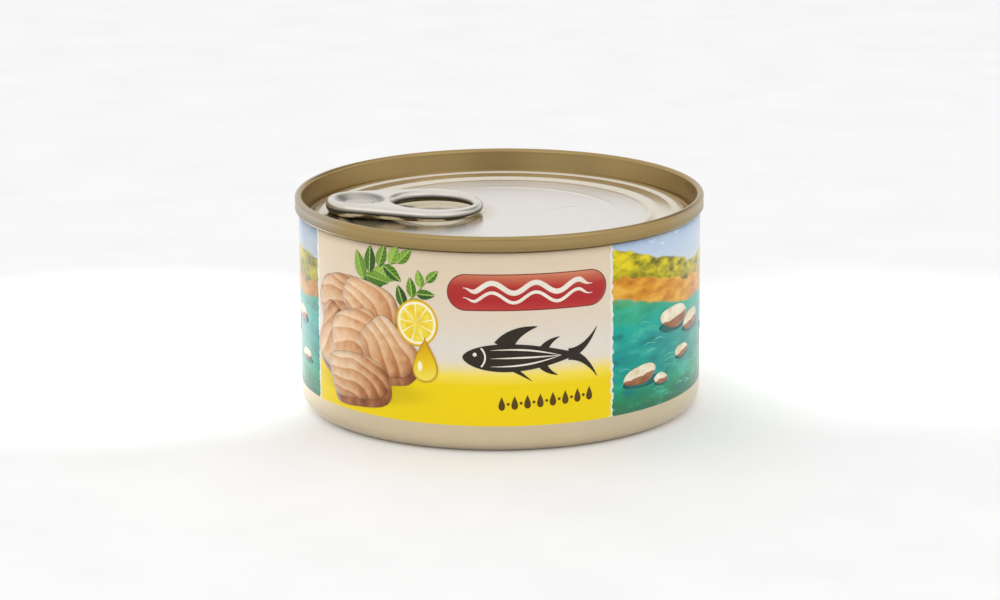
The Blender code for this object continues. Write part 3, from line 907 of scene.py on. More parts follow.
band_edge = capsule(BAND_CENTRE, BAND_HALF)
band_face = capsule(BAND_CENTRE, (BAND_HALF[0] - BAND_OUTLINE, BAND_HALF[1] - BAND_OUTLINE))
band_ink = film_material("ink_band", band_paint)
printed_piece("print_band_edge", edge_ink, [filled(band_edge, 3, centre=BAND_CENTRE, rings=16)])
printed_piece("print_band", band_ink, [filled(band_face, 5, centre=BAND_CENTRE, rings=16)])

wave_run = np.linspace(-WAVE_HALF_LENGTH, WAVE_HALF_LENGTH, 260)
fade = smooth_step(0.0, 3.0, WAVE_HALF_LENGTH - np.abs(wave_run))
wave = WAVE_HEIGHT * fade * np.sin(wave_run * math.tau / WAVE_LENGTH + 0.6)
wave_lines = []
for lift, thick in ((0.95, 0.95), (-1.05, 0.55)):
    line = np.stack([wave_run, lift + wave], axis=-1)
    wave_lines.append(stroke(line + BAND_CENTRE, 0.12 + thick * fade, 8, columns=5))
printed_piece("print_wave", cream_ink, wave_lines)

# %% [markdown]
# The fish is a dark spindle with a forked tail and four fins. Fins and tail are strokes that bend backwards
# and narrow to a point. Thin cream strokes on top are its gill and the lines along its side, and a small oval
# is its eye.

# %% Dark fish
FISH_NOSE, FISH_LENGTH, FISH_MIDDLE = -7.7, 24.0, 20.3


def fish_side(t):
    """Half the height of the body at a share t of its length: 8.2 t^0.62 (1 - t)^1.05, in mm."""
    return 8.2 * t ** 0.62 * (1.0 - t) ** 1.05


body_share = 0.5 - 0.5 * np.cos(np.linspace(0.0, math.pi, 60))
body_run = FISH_NOSE + FISH_LENGTH * body_share
fish_back = np.stack([body_run, FISH_MIDDLE + 0.98 * fish_side(body_share) + 0.10], axis=-1)
fish_belly = np.stack([body_run, FISH_MIDDLE - 1.08 * fish_side(body_share) - 0.10], axis=-1)
fish_body = np.concatenate([fish_belly, fish_back[::-1]])


def fin(root, tip, root_width, sweep):
    """A curved fin from its root to its tip, narrowing to a point; sweep bends it towards the tail."""
    u = np.linspace(0.0, 1.0, 24)[:, None]
    root, tip = np.array(root), np.array(tip)
    bent = root * (1.0 - u) ** 2 + 2.0 * u * (1.0 - u) * (root + sweep) + tip * u ** 2
    return stroke(bent, root_width * (1.0 - u[:, 0]) ** 0.9 + 0.03, 5, columns=5)


fins = [
    fin((0.6, 22.4), (7.6, 26.6), 4.2, (1.8, 3.4)), fin((8.8, 21.6), (12.2, 24.2), 2.0, (0.8, 1.8)),
    fin((8.4, 18.9), (11.8, 16.2), 2.0, (0.8, -1.8)), fin((-0.2, 19.4), (6.4, 15.2), 1.9, (2.6, -1.2)),
    fin((14.2, 20.4), (20.4, 25.6), 2.2, (3.6, 0.6)), fin((14.2, 20.2), (20.4, 15.0), 2.2, (3.6, -0.6)),
]
printed_piece("print_fish", dark_ink, [filled(fish_body, 6, centre=(3.0, FISH_MIDDLE))] + fins)

sway = np.linspace(0.0, 1.0, 60)
fish_lines = []
for lift, bend in ((1.5, 0.7), (-0.2, 0.0), (-1.9, -0.6)):
    line_height = FISH_MIDDLE + lift * (1.0 - sway) + bend * np.sin(math.pi * sway)
    line = np.stack([-2.0 + 14.5 * sway, line_height], axis=-1)
    fish_lines.append(stroke(line, 0.34 * np.sin(math.pi * sway) + 0.03, 9))
gill_turn = np.radians(np.linspace(-48.0, 48.0, 30))
gill = np.stack([-5.6 + 2.5 * np.cos(gill_turn), FISH_MIDDLE + 2.6 * np.sin(gill_turn)], axis=-1)
eye = oval((-5.2, 20.9), (0.42, 0.42), count=24)
fish_lines += [stroke(gill, 0.36, 9), filled(eye, 9, rings=3)]
printed_piece("print_fish_lines", cream_ink, fish_lines)

# %% [markdown]
# The row under the fish is eight small drops with a dot between neighbours. It climbs a little to the right.

# %% Row of drops
ROW_CLIMB = 0.06
row_across = np.linspace(0.2, 18.6, 8)
row_between = 0.5 * (row_across[1:] + row_across[:-1])
row_films = []
for x in row_across:
    shape = drop((x, 10.6 + ROW_CLIMB * x), 0.95, 2.9, 40)
    row_films.append(filled(shape, 4, centre=shape.mean(axis=0) - (0.0, 0.3), rings=4))
for x in row_between:
    row_films.append(filled(oval((x, 10.4 + ROW_CLIMB * x), (0.3, 0.3), count=20), 4, rings=3))
printed_piece("print_drops", brown_ink, row_films)

# %% [markdown]
# In the water of the strip of coast stand smooth rocks: a cream top, a brown side in shade, and a dark shape
# on the water below. Pale strokes make small waves, and a few thin ones in the sky stand for gulls.

# %% Rocks and waves
ROCKS = (
    ((31.6, 13.4), (4.6, 2.0), 6.0), ((38.0, 11.4), (2.4, 1.1), -4.0), ((43.4, 23.6), (5.6, 2.3), -6.0),
    ((51.6, 21.2), (4.6, 1.9), 8.0), ((46.4, 15.6), (3.0, 1.3), 4.0), ((66.0, 19.0), (5.4, 2.2), 5.0),
    ((76.5, 22.0), (3.6, 1.6), -5.0), ((79.5, 13.5), (3.0, 1.3), 4.0),
)
RIPPLES = 34
GULLS = ((35.0, 40.6, 1.1), (38.4, 39.7, 0.8), (43.8, 41.0, 0.9), (69.0, 40.4, 1.0))


def rock_paint(tree, along, across, rim, shade, position):
    """Sun-bleached stone: cream above, brown below a ragged line, with a little grain."""
    grain = noise(tree, position, 420.0, 3.0)
    sunny = above(tree, across, -0.35, calc(tree, "MULTIPLY", along, 0.12), grain, 1.8, 0.35)
    top = ramp(tree, grain, [(0.3, ink(216, 198, 160)), (0.5, ink(236, 224, 194)), (0.7, ink(246, 240, 222))])
    under = ramp(tree, grain, [(0.3, ink(118, 72, 46)), (0.6, ink(166, 108, 70)), (0.8, ink(190, 138, 98))])
    return mix(tree, sunny, under, top)


def deep_paint(tree, along, across, rim, shade, position):
    """The dark shape of a rock on moving water."""
    moving = noise(tree, position, 300.0, 2.0, (1.0, 1.0, 3.0))
    return ramp(tree, moving, [(0.35, ink(12, 84, 84)), (0.65, ink(34, 118, 110))])


stones, shapes_below = [], []
for number, (centre, half, turn) in enumerate(ROCKS):
    stones.append(filled(oval(centre, half, turn, 0.10, number + 21), 4, rings=6))
    below = np.add(centre, (0.5, -0.8 * half[1]))
    dark_shape = oval(below, np.multiply(half, (1.12, 0.62)), 0.0, 0.08, number + 51)
    shapes_below.append(filled(dark_shape, 2, rings=5))
printed_piece("print_rock_water", film_material("ink_deep", deep_paint), shapes_below)
printed_piece("print_rocks", film_material("ink_rock", rock_paint), stones)

draw = np.random.default_rng(8)
ripple_x = draw.uniform(26.5, 84.5, RIPPLES)
ripple_z = draw.uniform(7.2, 24.4, RIPPLES)
ripple_half = draw.uniform(1.0, 2.6, RIPPLES)
ripples = []
for x, z, half in zip(ripple_x, ripple_z, ripple_half):
    u = np.linspace(-1.0, 1.0, 14)
    path = np.stack([x + half * u, z + 0.22 * np.cos(u * 3.0)], axis=-1)
    ripples.append(stroke(path, 0.20 * (1.0 - u * u) + 0.02, 1, columns=3))
gulls = []
for x, z, half in GULLS:
    u = np.linspace(-1.0, 1.0, 21)
    path = np.stack([x + half * u, z + 0.55 * half * np.abs(np.sin(u * 2.6))], axis=-1)
    gulls.append(stroke(path, 0.16 * (1.0 - u * u) + 0.04, 1, columns=3))
foam_ink = film_material("ink_foam", plain_paint((70, 180, 160), (112, 202, 182)))
gull_ink = film_material("ink_gull", plain_paint((236, 240, 244), (246, 248, 250)))
printed_piece("print_ripples", foam_ink, ripples)
printed_piece("print_gulls", gull_ink, gulls)

# %% [markdown]
# The lid is turned as well. Going outwards: the flat middle panel, a step up to a land, a second step to the
# raised edge, a narrow round-bottomed channel (the countersink), the upright chuck wall, the rolled top of
# the seam, its outer face with the slight hollow that the second seaming roll leaves, and its foot. The steps
# stiffen the thin sheet, and they are what draws the bright and dark rings in the reference. The panel isn't
# fully round: a shallow oval well under the tab gives room for a finger tip, so it is added as a lift.

# %% Lid
LID_COLUMNS = 384
PANEL_Z = CAN_HEIGHT - 4.8
LAND_Z = CAN_HEIGHT - 4.4
EDGE_Z = CAN_HEIGHT - 4.05
SEAM_FOOT_Z = CAN_HEIGHT - 3.2
UNDERSIDE_Z = lid_low.z / MM
PANEL_RADIUS = 31.4
LAND_INNER, LAND_OUTER = 34.0, 36.4
EDGE_INNER, EDGE_OUTER = 38.1, 39.5
CHANNEL_HALF = 0.75
CHANNEL_Z = CAN_HEIGHT - 5.4
CHUCK_TOP_RADIUS = 41.75
SEAM_ROUND = (0.75, 0.8)
SEAM_CREST = CHUCK_TOP_RADIUS + SEAM_ROUND[0]
EDGE_ROUND_START = 38.9
WELL_X, WELL_HALF_LENGTH, WELL_HALF_WIDTH, WELL_DEPTH = -13.6, 9.8, 12.4, 0.55
BEAD_RADIUS, BEAD_HALF, BEAD_HEIGHT = 24.6, 0.6, 0.06
DASH_START, DASH_WAY, DASH_LENGTH, DASH_HALF, DASH_HEIGHT = (9.6, 0.5), (6.9, 4.7), 8.4, 0.35, 0.08
SHINE_X, SHINE_HALF = -20.5, (18.8, 16.5)


def panel_height(r):
    """Height of the panel over its radius: the floor plus two smooth steps."""
    first = (LAND_Z - PANEL_Z) * smooth_step(PANEL_RADIUS, LAND_INNER, r)
    return PANEL_Z + first + (EDGE_Z - LAND_Z) * smooth_step(LAND_OUTER, EDGE_INNER, r)


def panel_lift(x, y, r):
    """The finger well, an oval hollow with an even slope inside its rim, and two faint raised lines.

    The lines are an arc of a bead and a short dash; each is a bell curve of the distance from its middle.
    """
    reach = np.hypot((x - WELL_X) / WELL_HALF_LENGTH, y / WELL_HALF_WIDTH)
    slope = np.clip((1.04 - reach) / 0.28, 0.0, 1.0)
    well = -WELL_DEPTH * (0.75 * slope + 0.25 * smooth_step(0.0, 1.0, slope)) * (r < PANEL_RADIUS + 1.0)
    bead = BEAD_HEIGHT * np.exp(-((r - BEAD_RADIUS) / BEAD_HALF) ** 2)
    bead = bead * smooth_step(0.25, 0.6, np.cos(np.arctan2(y, x) - 0.6))
    right, back = x - DASH_START[0], y - DASH_START[1]
    way_x, way_y = np.array(DASH_WAY) / math.hypot(*DASH_WAY)
    run = right * way_x + back * way_y
    off = back * way_x - right * way_y
    dash = DASH_HEIGHT * np.exp(-(off / DASH_HALF) ** 2)
    dash = dash * smooth_step(0.0, 0.6, run) * smooth_step(0.0, 0.6, DASH_LENGTH - run)
    return well + bead + dash


def seam_profile():
    """(r, z) from the chuck wall's foot over the rolled top, down the outer face and round its foot."""
    inner_top = (CHUCK_TOP_RADIUS, CAN_HEIGHT - SEAM_ROUND[1])
    middle = (SEAM_CREST, CAN_HEIGHT - SEAM_ROUND[1])
    outer = SEAM_CREST + SEAM_ROUND[0]
    share = np.linspace(0.0, 1.0, 13)[1:]
    hollow = 0.06 * np.sin(math.pi * share)
    face_foot = SEAM_FOOT_Z + 0.45
    face = np.stack([outer - hollow, inner_top[1] + (face_foot - inner_top[1]) * share], axis=-1)
    return np.concatenate([
        along((EDGE_OUTER + 2.0 * CHANNEL_HALF, CHANNEL_Z + CHANNEL_HALF), inner_top, 16),
        arc(middle, SEAM_ROUND, 180.0, 0.0, 16),
        face,
        arc((outer - 0.45, face_foot), 0.45, 0.0, -90.0, 6),
    ])


def lid_profile():
    """(r, z) of the whole lid, worked out from the panel's middle outwards and handed over from below up."""
    flat_end = PANEL_RADIUS - 0.4
    r = np.concatenate([np.linspace(0.0, flat_end, 64), np.linspace(flat_end + 0.2, 38.2, 44), [38.6]])
    top = np.stack([r, panel_height(r)], axis=-1)
    edge_round = EDGE_OUTER - EDGE_ROUND_START
    inside_wall = BODY_RADIUS - 0.62
    return np.concatenate([
        top,
        arc((EDGE_ROUND_START, EDGE_Z - edge_round), edge_round, 90.0, 0.0, 8),
        arc((EDGE_OUTER + CHANNEL_HALF, CHANNEL_Z + CHANNEL_HALF), CHANNEL_HALF, 180.0, 360.0, 12),
        seam_profile(),
        along((SEAM_RADIUS - 0.5, SEAM_FOOT_Z), (inside_wall, SEAM_FOOT_Z), 1),
        along((inside_wall, SEAM_FOOT_Z), (inside_wall, UNDERSIDE_Z), 2),
        along((inside_wall, UNDERSIDE_Z), (0.0, UNDERSIDE_Z), 3),
    ])[::-1]


def top_face_only(lift):
    """Keeps a lift off the lid's underside, whose rows come before the seam's widest one."""
    def lift_rows(x, y, r):
        """The lift on rows after the widest one, and 0 on the others."""
        radii = r[:, :1]
        rising = np.arange(len(radii))[:, None] > np.argmax(radii)
        return lift(x, y, r) * rising
    return lift_rows


def lid_material():
    """Silver panel, and gold lacquer on the chuck wall and the seam, with a soft border in the channel.

    The panel is satin. It is shinier inside an oval under the tab and on the drawn steps round it. In the
    oval its colour is a warmer, darker painted reflection, and the steps are a little warmer too. The seam's
    outer face has painted shade towards its foot, where the second roll tucks it in against the wall, and a
    darker painted line at the foot itself. Its lacquer turns a paler grey at the left and, less so, at the
    right, as painted glare.
    """
    material, tree, shader = new_material("lacquered_lid")
    position = add(tree, "ShaderNodeTexCoord").outputs["Object"]
    split = add(tree, "ShaderNodeSeparateXYZ", {0: position})
    flat = add(tree, "ShaderNodeCombineXYZ", {0: split.outputs[0], 1: split.outputs[1], 2: 0.0})
    radius = add(tree, "ShaderNodeVectorMath", {0: flat.outputs[0]}, operation="LENGTH").outputs["Value"]
    gold = soft_edge(tree, radius, (EDGE_OUTER + 0.3) * MM, 0.8 * MM)
    outside = soft_edge(tree, radius, (SEAM_CREST + 0.1) * MM, 0.4 * MM)
    # Painted shade: the seam's outer face grows darker towards its foot.
    foot_painted_shade = soft_edge(tree, split.outputs[2], (SEAM_FOOT_Z + 0.9) * MM, -2.0 * MM)
    metal = use_group(tree, SHEET_METAL, position, Grain_Scale=900.0, Stretch=14.0, Scuff_Scale=90.0)
    tone = calc(tree, "MULTIPLY_ADD", metal.outputs["Tone"], 0.10, 0.95)
    tone = calc(tree, "MULTIPLY_ADD", calc(tree, "MULTIPLY", outside, foot_painted_shade), -0.20, tone)
    # Painted shade: a darker line along the seam's foot.
    foot_line_painted_shade = soft_edge(tree, split.outputs[2], (SEAM_FOOT_Z + 0.25) * MM, -0.4 * MM)
    tone = calc(tree, "MULTIPLY_ADD", calc(tree, "MULTIPLY", outside, foot_line_painted_shade), -0.12, tone)
    drawn = soft_edge(tree, radius, (PANEL_RADIUS - 0.3) * MM, 1.2 * MM)
    place = add(tree, "ShaderNodeVectorMath", {0: flat.outputs[0], 1: (-SHINE_X * MM, 0.0, 0.0)})
    shares = {0: place.outputs[0], 1: (1.0 / (SHINE_HALF[0] * MM), 1.0 / (SHINE_HALF[1] * MM), 0.0)}
    place = add(tree, "ShaderNodeVectorMath", shares, operation="MULTIPLY")
    reach = add(tree, "ShaderNodeVectorMath", {0: place.outputs[0]}, operation="LENGTH").outputs["Value"]
    # Painted reflection: inside the oval under the tab the panel's colour is warmer and darker; it is also
    # shinier there.
    under_tab_shine_and_painted_tint = soft_edge(tree, reach, 0.98, -0.30)
    silver = mix(tree, under_tab_shine_and_painted_tint, ink(216, 212, 207), ink(204, 191, 158))
    silver = mix(tree, drawn, silver, ink(214, 205, 187))
    # Painted glare: the seam's outer face turns a paler grey at the left and, less so, at the right.
    left = soft_edge(tree, split.outputs[0], -34.5 * MM, -8.0 * MM)
    right = soft_edge(tree, split.outputs[0], 36.0 * MM, 8.0 * MM)
    painted_side_glare = calc(tree, "MULTIPLY_ADD", right, 0.32, calc(tree, "MULTIPLY", left, 0.72))
    lacquer = mix(tree, calc(tree, "MULTIPLY", painted_side_glare, outside), ink(164, 140, 93), ink(168, 160, 146))
    colour = mix(tree, gold, silver, lacquer)
    tree.links.new(scaled(tree, colour, tone), shader.inputs["Base Color"])
    shiny = calc(tree, "MAXIMUM", drawn, calc(tree, "MULTIPLY", under_tab_shine_and_painted_tint, 0.7))
    tree.links.new(calc(tree, "MULTIPLY_ADD", shiny, 0.51, 0.44), shader.inputs["Metallic"])
    rough = calc(tree, "MULTIPLY_ADD", metal.outputs["Roughness Change"], 0.08, 0.24)
    rough = calc(tree, "MULTIPLY_ADD", shiny, -0.05, rough)
    tree.links.new(calc(tree, "MULTIPLY_ADD", gold, 0.12, rough), shader.inputs["Roughness"])
    add_bump(tree, shader, metal.outputs["Height"], 0.000006, 0.35)
    return material


lid = turned("lid_shell", lid_profile(), LID_COLUMNS, top_face_only(panel_lift))
finish_piece(lid, lid_material(), "lacquered_tin", "lid")

# %% [markdown]
# The pull tab is stamped from aluminium strip, and its edges are curled under so that they don't cut. Seen
# from above it is the hull of a small round nose and a wide oval ring. It is built as a closed tube of
# sections: at each station of the outline a section climbs the outer curl, crosses the web, goes down round
# the edge of the finger hole and comes back underneath. Rows run round the outline and columns run round the
# section, so one grid closed both ways makes the whole tab with its hole. The dish round the rivet and the
# slot that was lanced beside it are hollows in the web's height.

# %% Pull tab shape
NOSE_X, NOSE_RADIUS = -29.4, 7.3
RING_X, RING_HALF_LENGTH, RING_HALF_WIDTH = -13.9, 10.5, 11.9
HOLE_X, HOLE_HALF_LENGTH, HOLE_HALF_WIDTH = -14.1, 8.6, 8.1
TAB_TOP_AT_RING = 43.45
TAB_FOOT_Z = 41.13
TAB_SHEET = 0.5
TAB_TILT = math.radians(2.1)
DISH_X, DISH_HALF_LENGTH, DISH_HALF_WIDTH, DISH_DEPTH = -29.6, 6.2, 5.8, 1.4
SLOT_RADIUS, SLOT_HALF, SLOT_DEPTH = 4.7, 0.32, 0.55
CURL_RADIUS = 1.15
TAB_STATIONS = 420
CURL_COLUMNS = 9
WEB_COLUMNS = 44


def tab_outline(count):
    """Points and outward directions of the hull of nose and ring, evenly spaced along its edge.

    For each direction the part that reaches further gives the point, so the straight flanks need no formula.
    """
    turn = math.tau * (np.arange(4000) + 0.5) / 4000
    out = np.stack([np.cos(turn), np.sin(turn)], axis=-1)
    ring_reach = np.hypot(RING_HALF_LENGTH * out[:, 0], RING_HALF_WIDTH * out[:, 1])
    ring_half = np.array([RING_HALF_LENGTH, RING_HALF_WIDTH]) ** 2
    ring = np.array([RING_X, 0.0]) + ring_half * out / ring_reach[:, None]
    nose = np.array([NOSE_X, 0.0]) + NOSE_RADIUS * out
    nose_wins = NOSE_X * out[:, 0] + NOSE_RADIUS > RING_X * out[:, 0] + ring_reach
    edge = np.where(nose_wins[:, None], nose, ring)
    edge = np.concatenate([edge, edge[:1]])
    out = np.concatenate([out, out[:1]])
    length = np.concatenate([[0.0], np.cumsum(np.hypot(*np.diff(edge, axis=0).T))])
    stations = length[-1] * np.arange(count) / count
    points = np.stack([np.interp(stations, length, edge[:, k]) for k in (0, 1)], axis=-1)
    normals = np.stack([np.interp(stations, length, out[:, k]) for k in (0, 1)], axis=-1)
    return points, normals / np.hypot(*normals.T)[:, None]


def thickness(x):
    """Depth of the curled edge: from the tilted top down to the level foot, which lies just off the panel."""
    return TAB_TOP_AT_RING + (RING_X - x) * math.tan(TAB_TILT) - TAB_FOOT_Z


def web_height(x, y):
    """Height of the top of the web: the bowl round the rivet and the slot left where a flap was bent down."""
    reach = np.hypot((x - DISH_X) / DISH_HALF_LENGTH, y / DISH_HALF_WIDTH)
    bowl = DISH_DEPTH * (1.0 - smooth_step(0.42, 1.0, reach))
    from_rivet = np.hypot(x - DISH_X, y)
    side = np.arctan2(-y, x - DISH_X)
    slot = np.exp(-((from_rivet - SLOT_RADIUS) / SLOT_HALF) ** 4)
    slot = slot * smooth_step(0.62, 0.92, np.cos(side - 1.1))
    return -bowl - SLOT_DEPTH * slot


def curl(points, normals, start, end):
    """A round edge: inset CURL_RADIUS * (1 - cos a) along the normal, height half the depth * (sin a - 1)."""
    angle = np.radians(np.linspace(start, end, CURL_COLUMNS))
    inset = CURL_RADIUS * (1.0 - np.cos(angle))
    plan = points[:, None, :] - normals[:, None, :] * inset[None, :, None]
    height = 0.5 * thickness(points[:, :1]) * (np.sin(angle) - 1.0)
    return np.concatenate([plan, height[..., None]], axis=-1)


def web(first, last, height):
    """Rows across the web between two curls; height(x, y, u) gives each height, with u from 0 to 1."""
    share = (np.arange(1, WEB_COLUMNS) / WEB_COLUMNS)[None, :, None]
    plan = first[:, None, :2] * (1.0 - share) + last[:, None, :2] * share
    return np.concatenate([plan, height(plan[..., 0], plan[..., 1], share[..., 0])[..., None]], axis=-1)


def hollow_height(x, y, u):
    """The underside: from the foot of one curl up to one sheet below the web, and down to the other curl."""
    inside = smooth_step(0.0, 0.24, np.minimum(u, 1.0 - u))
    return -thickness(x) * (1.0 - inside) + (web_height(x, y) - TAB_SHEET) * inside


def tab_points():
    """The tab's grid of points, station by station, in its own level frame with the top at z = 0."""
    outer, outer_out = tab_outline(TAB_STATIONS)
    turn = np.arctan2(outer[:, 1] / HOLE_HALF_WIDTH, (outer[:, 0] - HOLE_X) / HOLE_HALF_LENGTH)
    hole = np.stack([HOLE_X + HOLE_HALF_LENGTH * np.cos(turn), HOLE_HALF_WIDTH * np.sin(turn)], axis=-1)
    hole_out = -np.stack([np.cos(turn) * HOLE_HALF_WIDTH, np.sin(turn) * HOLE_HALF_LENGTH], axis=-1)
    hole_out = hole_out / np.hypot(*hole_out.T)[:, None]
    outer_up = curl(outer, outer_out, 0.0, 90.0)
    hole_down = curl(hole, hole_out, 90.0, -90.0)
    outer_under = curl(outer, outer_out, -90.0, 0.0)[:, :-1]
    top_web = web(outer_up[:, -1], hole_down[:, 0], lambda x, y, u: web_height(x, y))
    low_web = web(hole_down[:, -1], outer_under[:, 0], hollow_height)
    return np.concatenate([outer_up, top_web, hole_down, low_web, outer_under], axis=1)


def tab_to_can(points):
    """Tilts the tab's own frame about Y, nose up, and sets it at its height over the panel."""
    x, y, z = np.moveaxis(points, -1, 0)
    top = TAB_TOP_AT_RING + (RING_X - DISH_X) * math.tan(TAB_TILT)
    along_x = x - DISH_X
    new_x = DISH_X + along_x * math.cos(TAB_TILT) + z * math.sin(TAB_TILT)
    new_z = top - along_x * math.sin(TAB_TILT) + z * math.cos(TAB_TILT)
    return np.stack([new_x, y, new_z], axis=-1)


# %% [markdown]
# The tab is bare aluminium, brighter than the lid. It is satin, not polished, because the strip is rolled
# with dull rolls and tumbled, so its highlights are wide. The grain runs along the tab. Its turned-under edge
# faces the gap below it and then the lid, so its colour there is painted: a thin dark band of painted shade
# over a brown painted reflection with pale painted glints.

# %% Pull tab
def tab_material():
    """Satin aluminium with a grain along X, dull and dark where the curls turn under and in the hollow.

    Where it turns dark is a plane at half the tab's tilt, a little below its top. There the colour is
    painted:
    a thin dark band of painted shade over a brown painted reflection with pale painted glints. In the bowl
    the limit lies deeper, so that its floor stays bright. The bowl has painted shade, darker than the web,
    most of all on its right wall.
    """
    material, tree, shader = new_material("tab_aluminium")
    position = add(tree, "ShaderNodeTexCoord").outputs["Object"]
    split = add(tree, "ShaderNodeSeparateXYZ", {0: position})
    plan = add(tree, "ShaderNodeCombineXYZ", {0: split.outputs[0], 1: split.outputs[1]}).outputs[0]
    from_bowl = add(tree, "ShaderNodeVectorMath", {0: plan, 1: (DISH_X * MM, 0.0, 0.0)}, operation="DISTANCE")
    bowl = soft_edge(tree, from_bowl.outputs["Value"], 5.3 * MM, -1.2 * MM)
    from_top = calc(tree, "MULTIPLY_ADD", split.outputs[0], 0.5 * math.tan(TAB_TILT), split.outputs[2])
    from_top = calc(tree, "MULTIPLY_ADD", bowl, 0.8 * MM, from_top)
    limit = TAB_TOP_AT_RING + 0.5 * RING_X * math.tan(TAB_TILT) - 1.0
    upper = soft_edge(tree, from_top, limit * MM, 0.9 * MM)
    metal = use_group(tree, SHEET_METAL, position, Grain_Scale=1400.0, Stretch=10.0, Scuff_Scale=260.0)
    tone = calc(tree, "MULTIPLY_ADD", metal.outputs["Tone"], 0.14, 0.93)
    # Painted shade in the bowl, stronger on its wall and most on the right.
    tone = calc(tree, "MULTIPLY_ADD", bowl, -0.24, tone)
    wall = soft_edge(tree, from_bowl.outputs["Value"], 4.1 * MM, 1.6 * MM)
    right_side = soft_edge(tree, split.outputs[0], (DISH_X + 1.0) * MM, 7.0 * MM)
    bowl_wall_painted_shade = calc(tree, "MULTIPLY_ADD", right_side, -0.34, -0.08)
    tone = calc(tree, "MULTIPLY_ADD", calc(tree, "MULTIPLY", wall, bowl), bowl_wall_painted_shade, tone)
    # Painted underside: pale painted glints in a brown painted reflection, under a thin dark band of painted
    # shade.
    painted_glint_patches = soft_edge(tree, noise(tree, position, 130.0, 3.0, (1.0, 1.0, 3.0)), 0.55, 0.10)
    painted_underside_reflection = mix(tree, painted_glint_patches, ink(92, 78, 44), ink(236, 222, 190))
    band = soft_edge(tree, from_top, (limit - 0.62) * MM, 0.45 * MM)
    under = mix(tree, band, painted_underside_reflection, ink(34, 27, 10))
    colour = mix(tree, upper, under, scaled(tree, ink(214, 209, 200), tone))
    tree.links.new(colour, shader.inputs["Base Color"])
    tree.links.new(calc(tree, "MULTIPLY", upper, 0.92), shader.inputs["Metallic"])
    rough = calc(tree, "MULTIPLY_ADD", metal.outputs["Roughness Change"], 0.15, 0.90)
    tree.links.new(calc(tree, "MULTIPLY_ADD", upper, -0.58, rough), shader.inputs["Roughness"])
    add_bump(tree, shader, metal.outputs["Height"], 0.000008, 0.4)
    return material


def closed_grid(name, points):
    """A mesh from a grid that closes on itself both ways, with its corners turned so it faces outwards."""
    rows, columns = points.shape[:2]
    row, column = grid_corners(rows, columns)
    faces = ((row % rows) * columns + column % columns)[:, ::-1]
    return mesh_object(name, points.reshape(-1, 3), faces.tolist())


tab_aluminium = tab_material()
tab_grid = tab_to_can(tab_points())
tab = closed_grid("pull_tab_stamped", tab_grid)
finish_piece(tab, tab_aluminium, "tab_metal", "pull_tab")
print("tab spans", tab_grid.reshape(-1, 3).min(0).round(2), tab_grid.reshape(-1, 3).max(0).round(2))

# %% [markdown]
# The rivet is drawn up out of the lid and flattened over the tab. It is a small turned piece: a wide foot on
# the panel, a shank through the tab and a low head with a shallow dimple from the staking punch.

# %% Rivet
RIVET_HEAD_RADIUS = 3.1
RIVET_SHANK_RADIUS = 2.0
RIVET_FOOT_RADIUS = 2.8
RIVET_FOOT_Z = rivet_low.z / MM
RIVET_TOP_Z = rivet_high.z / MM
RIVET_EDGE = 0.12


def rivet_points():
    """(r, z) of the rivet from the middle of its foot up to the dimple in its head."""
    head = RIVET_TOP_Z - 0.4
    r = np.linspace(RIVET_HEAD_RADIUS - RIVET_EDGE, 0.0, 20)
    crown = RIVET_TOP_Z - 0.26 * (r / RIVET_HEAD_RADIUS) ** 2 - 0.10 * (1.0 - smooth_step(0.3, 1.7, r))
    return np.concatenate([
        [[0.0, RIVET_FOOT_Z], [RIVET_FOOT_RADIUS - 0.2, RIVET_FOOT_Z]],
        arc((RIVET_FOOT_RADIUS - 0.2, RIVET_FOOT_Z + 0.2), 0.2, -90.0, 0.0, 4),
        arc((RIVET_FOOT_RADIUS, RIVET_FOOT_Z + 0.7), (0.8, 0.4), 270.0, 180.0, 5),
        along((RIVET_SHANK_RADIUS, RIVET_FOOT_Z + 0.7), (RIVET_SHANK_RADIUS, head), 2),
        along((RIVET_SHANK_RADIUS, head), (RIVET_HEAD_RADIUS, head), 2),
        arc((RIVET_HEAD_RADIUS - RIVET_EDGE, crown[0] - RIVET_EDGE), RIVET_EDGE, 0.0, 90.0, 5),
        np.stack([r, crown], axis=-1)[1:],
    ])


rivet = turned("rivet_staked", rivet_points(), 64)
rivet.data.transform(Matrix.Translation((DISH_X * MM, 0.0, 0.0)))
finish_piece(rivet, tab_aluminium, "rivet_metal", "rivet")

# %% [markdown]
# The set is plain: a pale floor and a soft, even studio. Metal shows only what is round it, so the room is
# given some shape. It is bright above and behind the can, which lights the panel of the lid, and darker low
# down in front, which is what the inner wall of the seam mirrors. Two soft patches of the floor glow beside
# the can, as a light table does, for the pale glare near its left and right edges. The two softboxes stand
# low in front, so that they reach in under the seam and the shade below it stays short.

# %% Floor, lights and room
GLOWS = ((-0.085, 0.04, 1.9), (0.085, 0.04, 0.5))
GLOW_RADIUS = 0.085
FLOOR_HALF = 4.0
SOFTBOX_SIZE, SOFTBOX_POWER, SOFTBOX_AIM = 0.8, 1.3, (0.0, 0.0, 0.02)
ROOM_LEVEL = 1.04
FRONT_SHADE = 0.55
SIDE_SHADE = 0.15


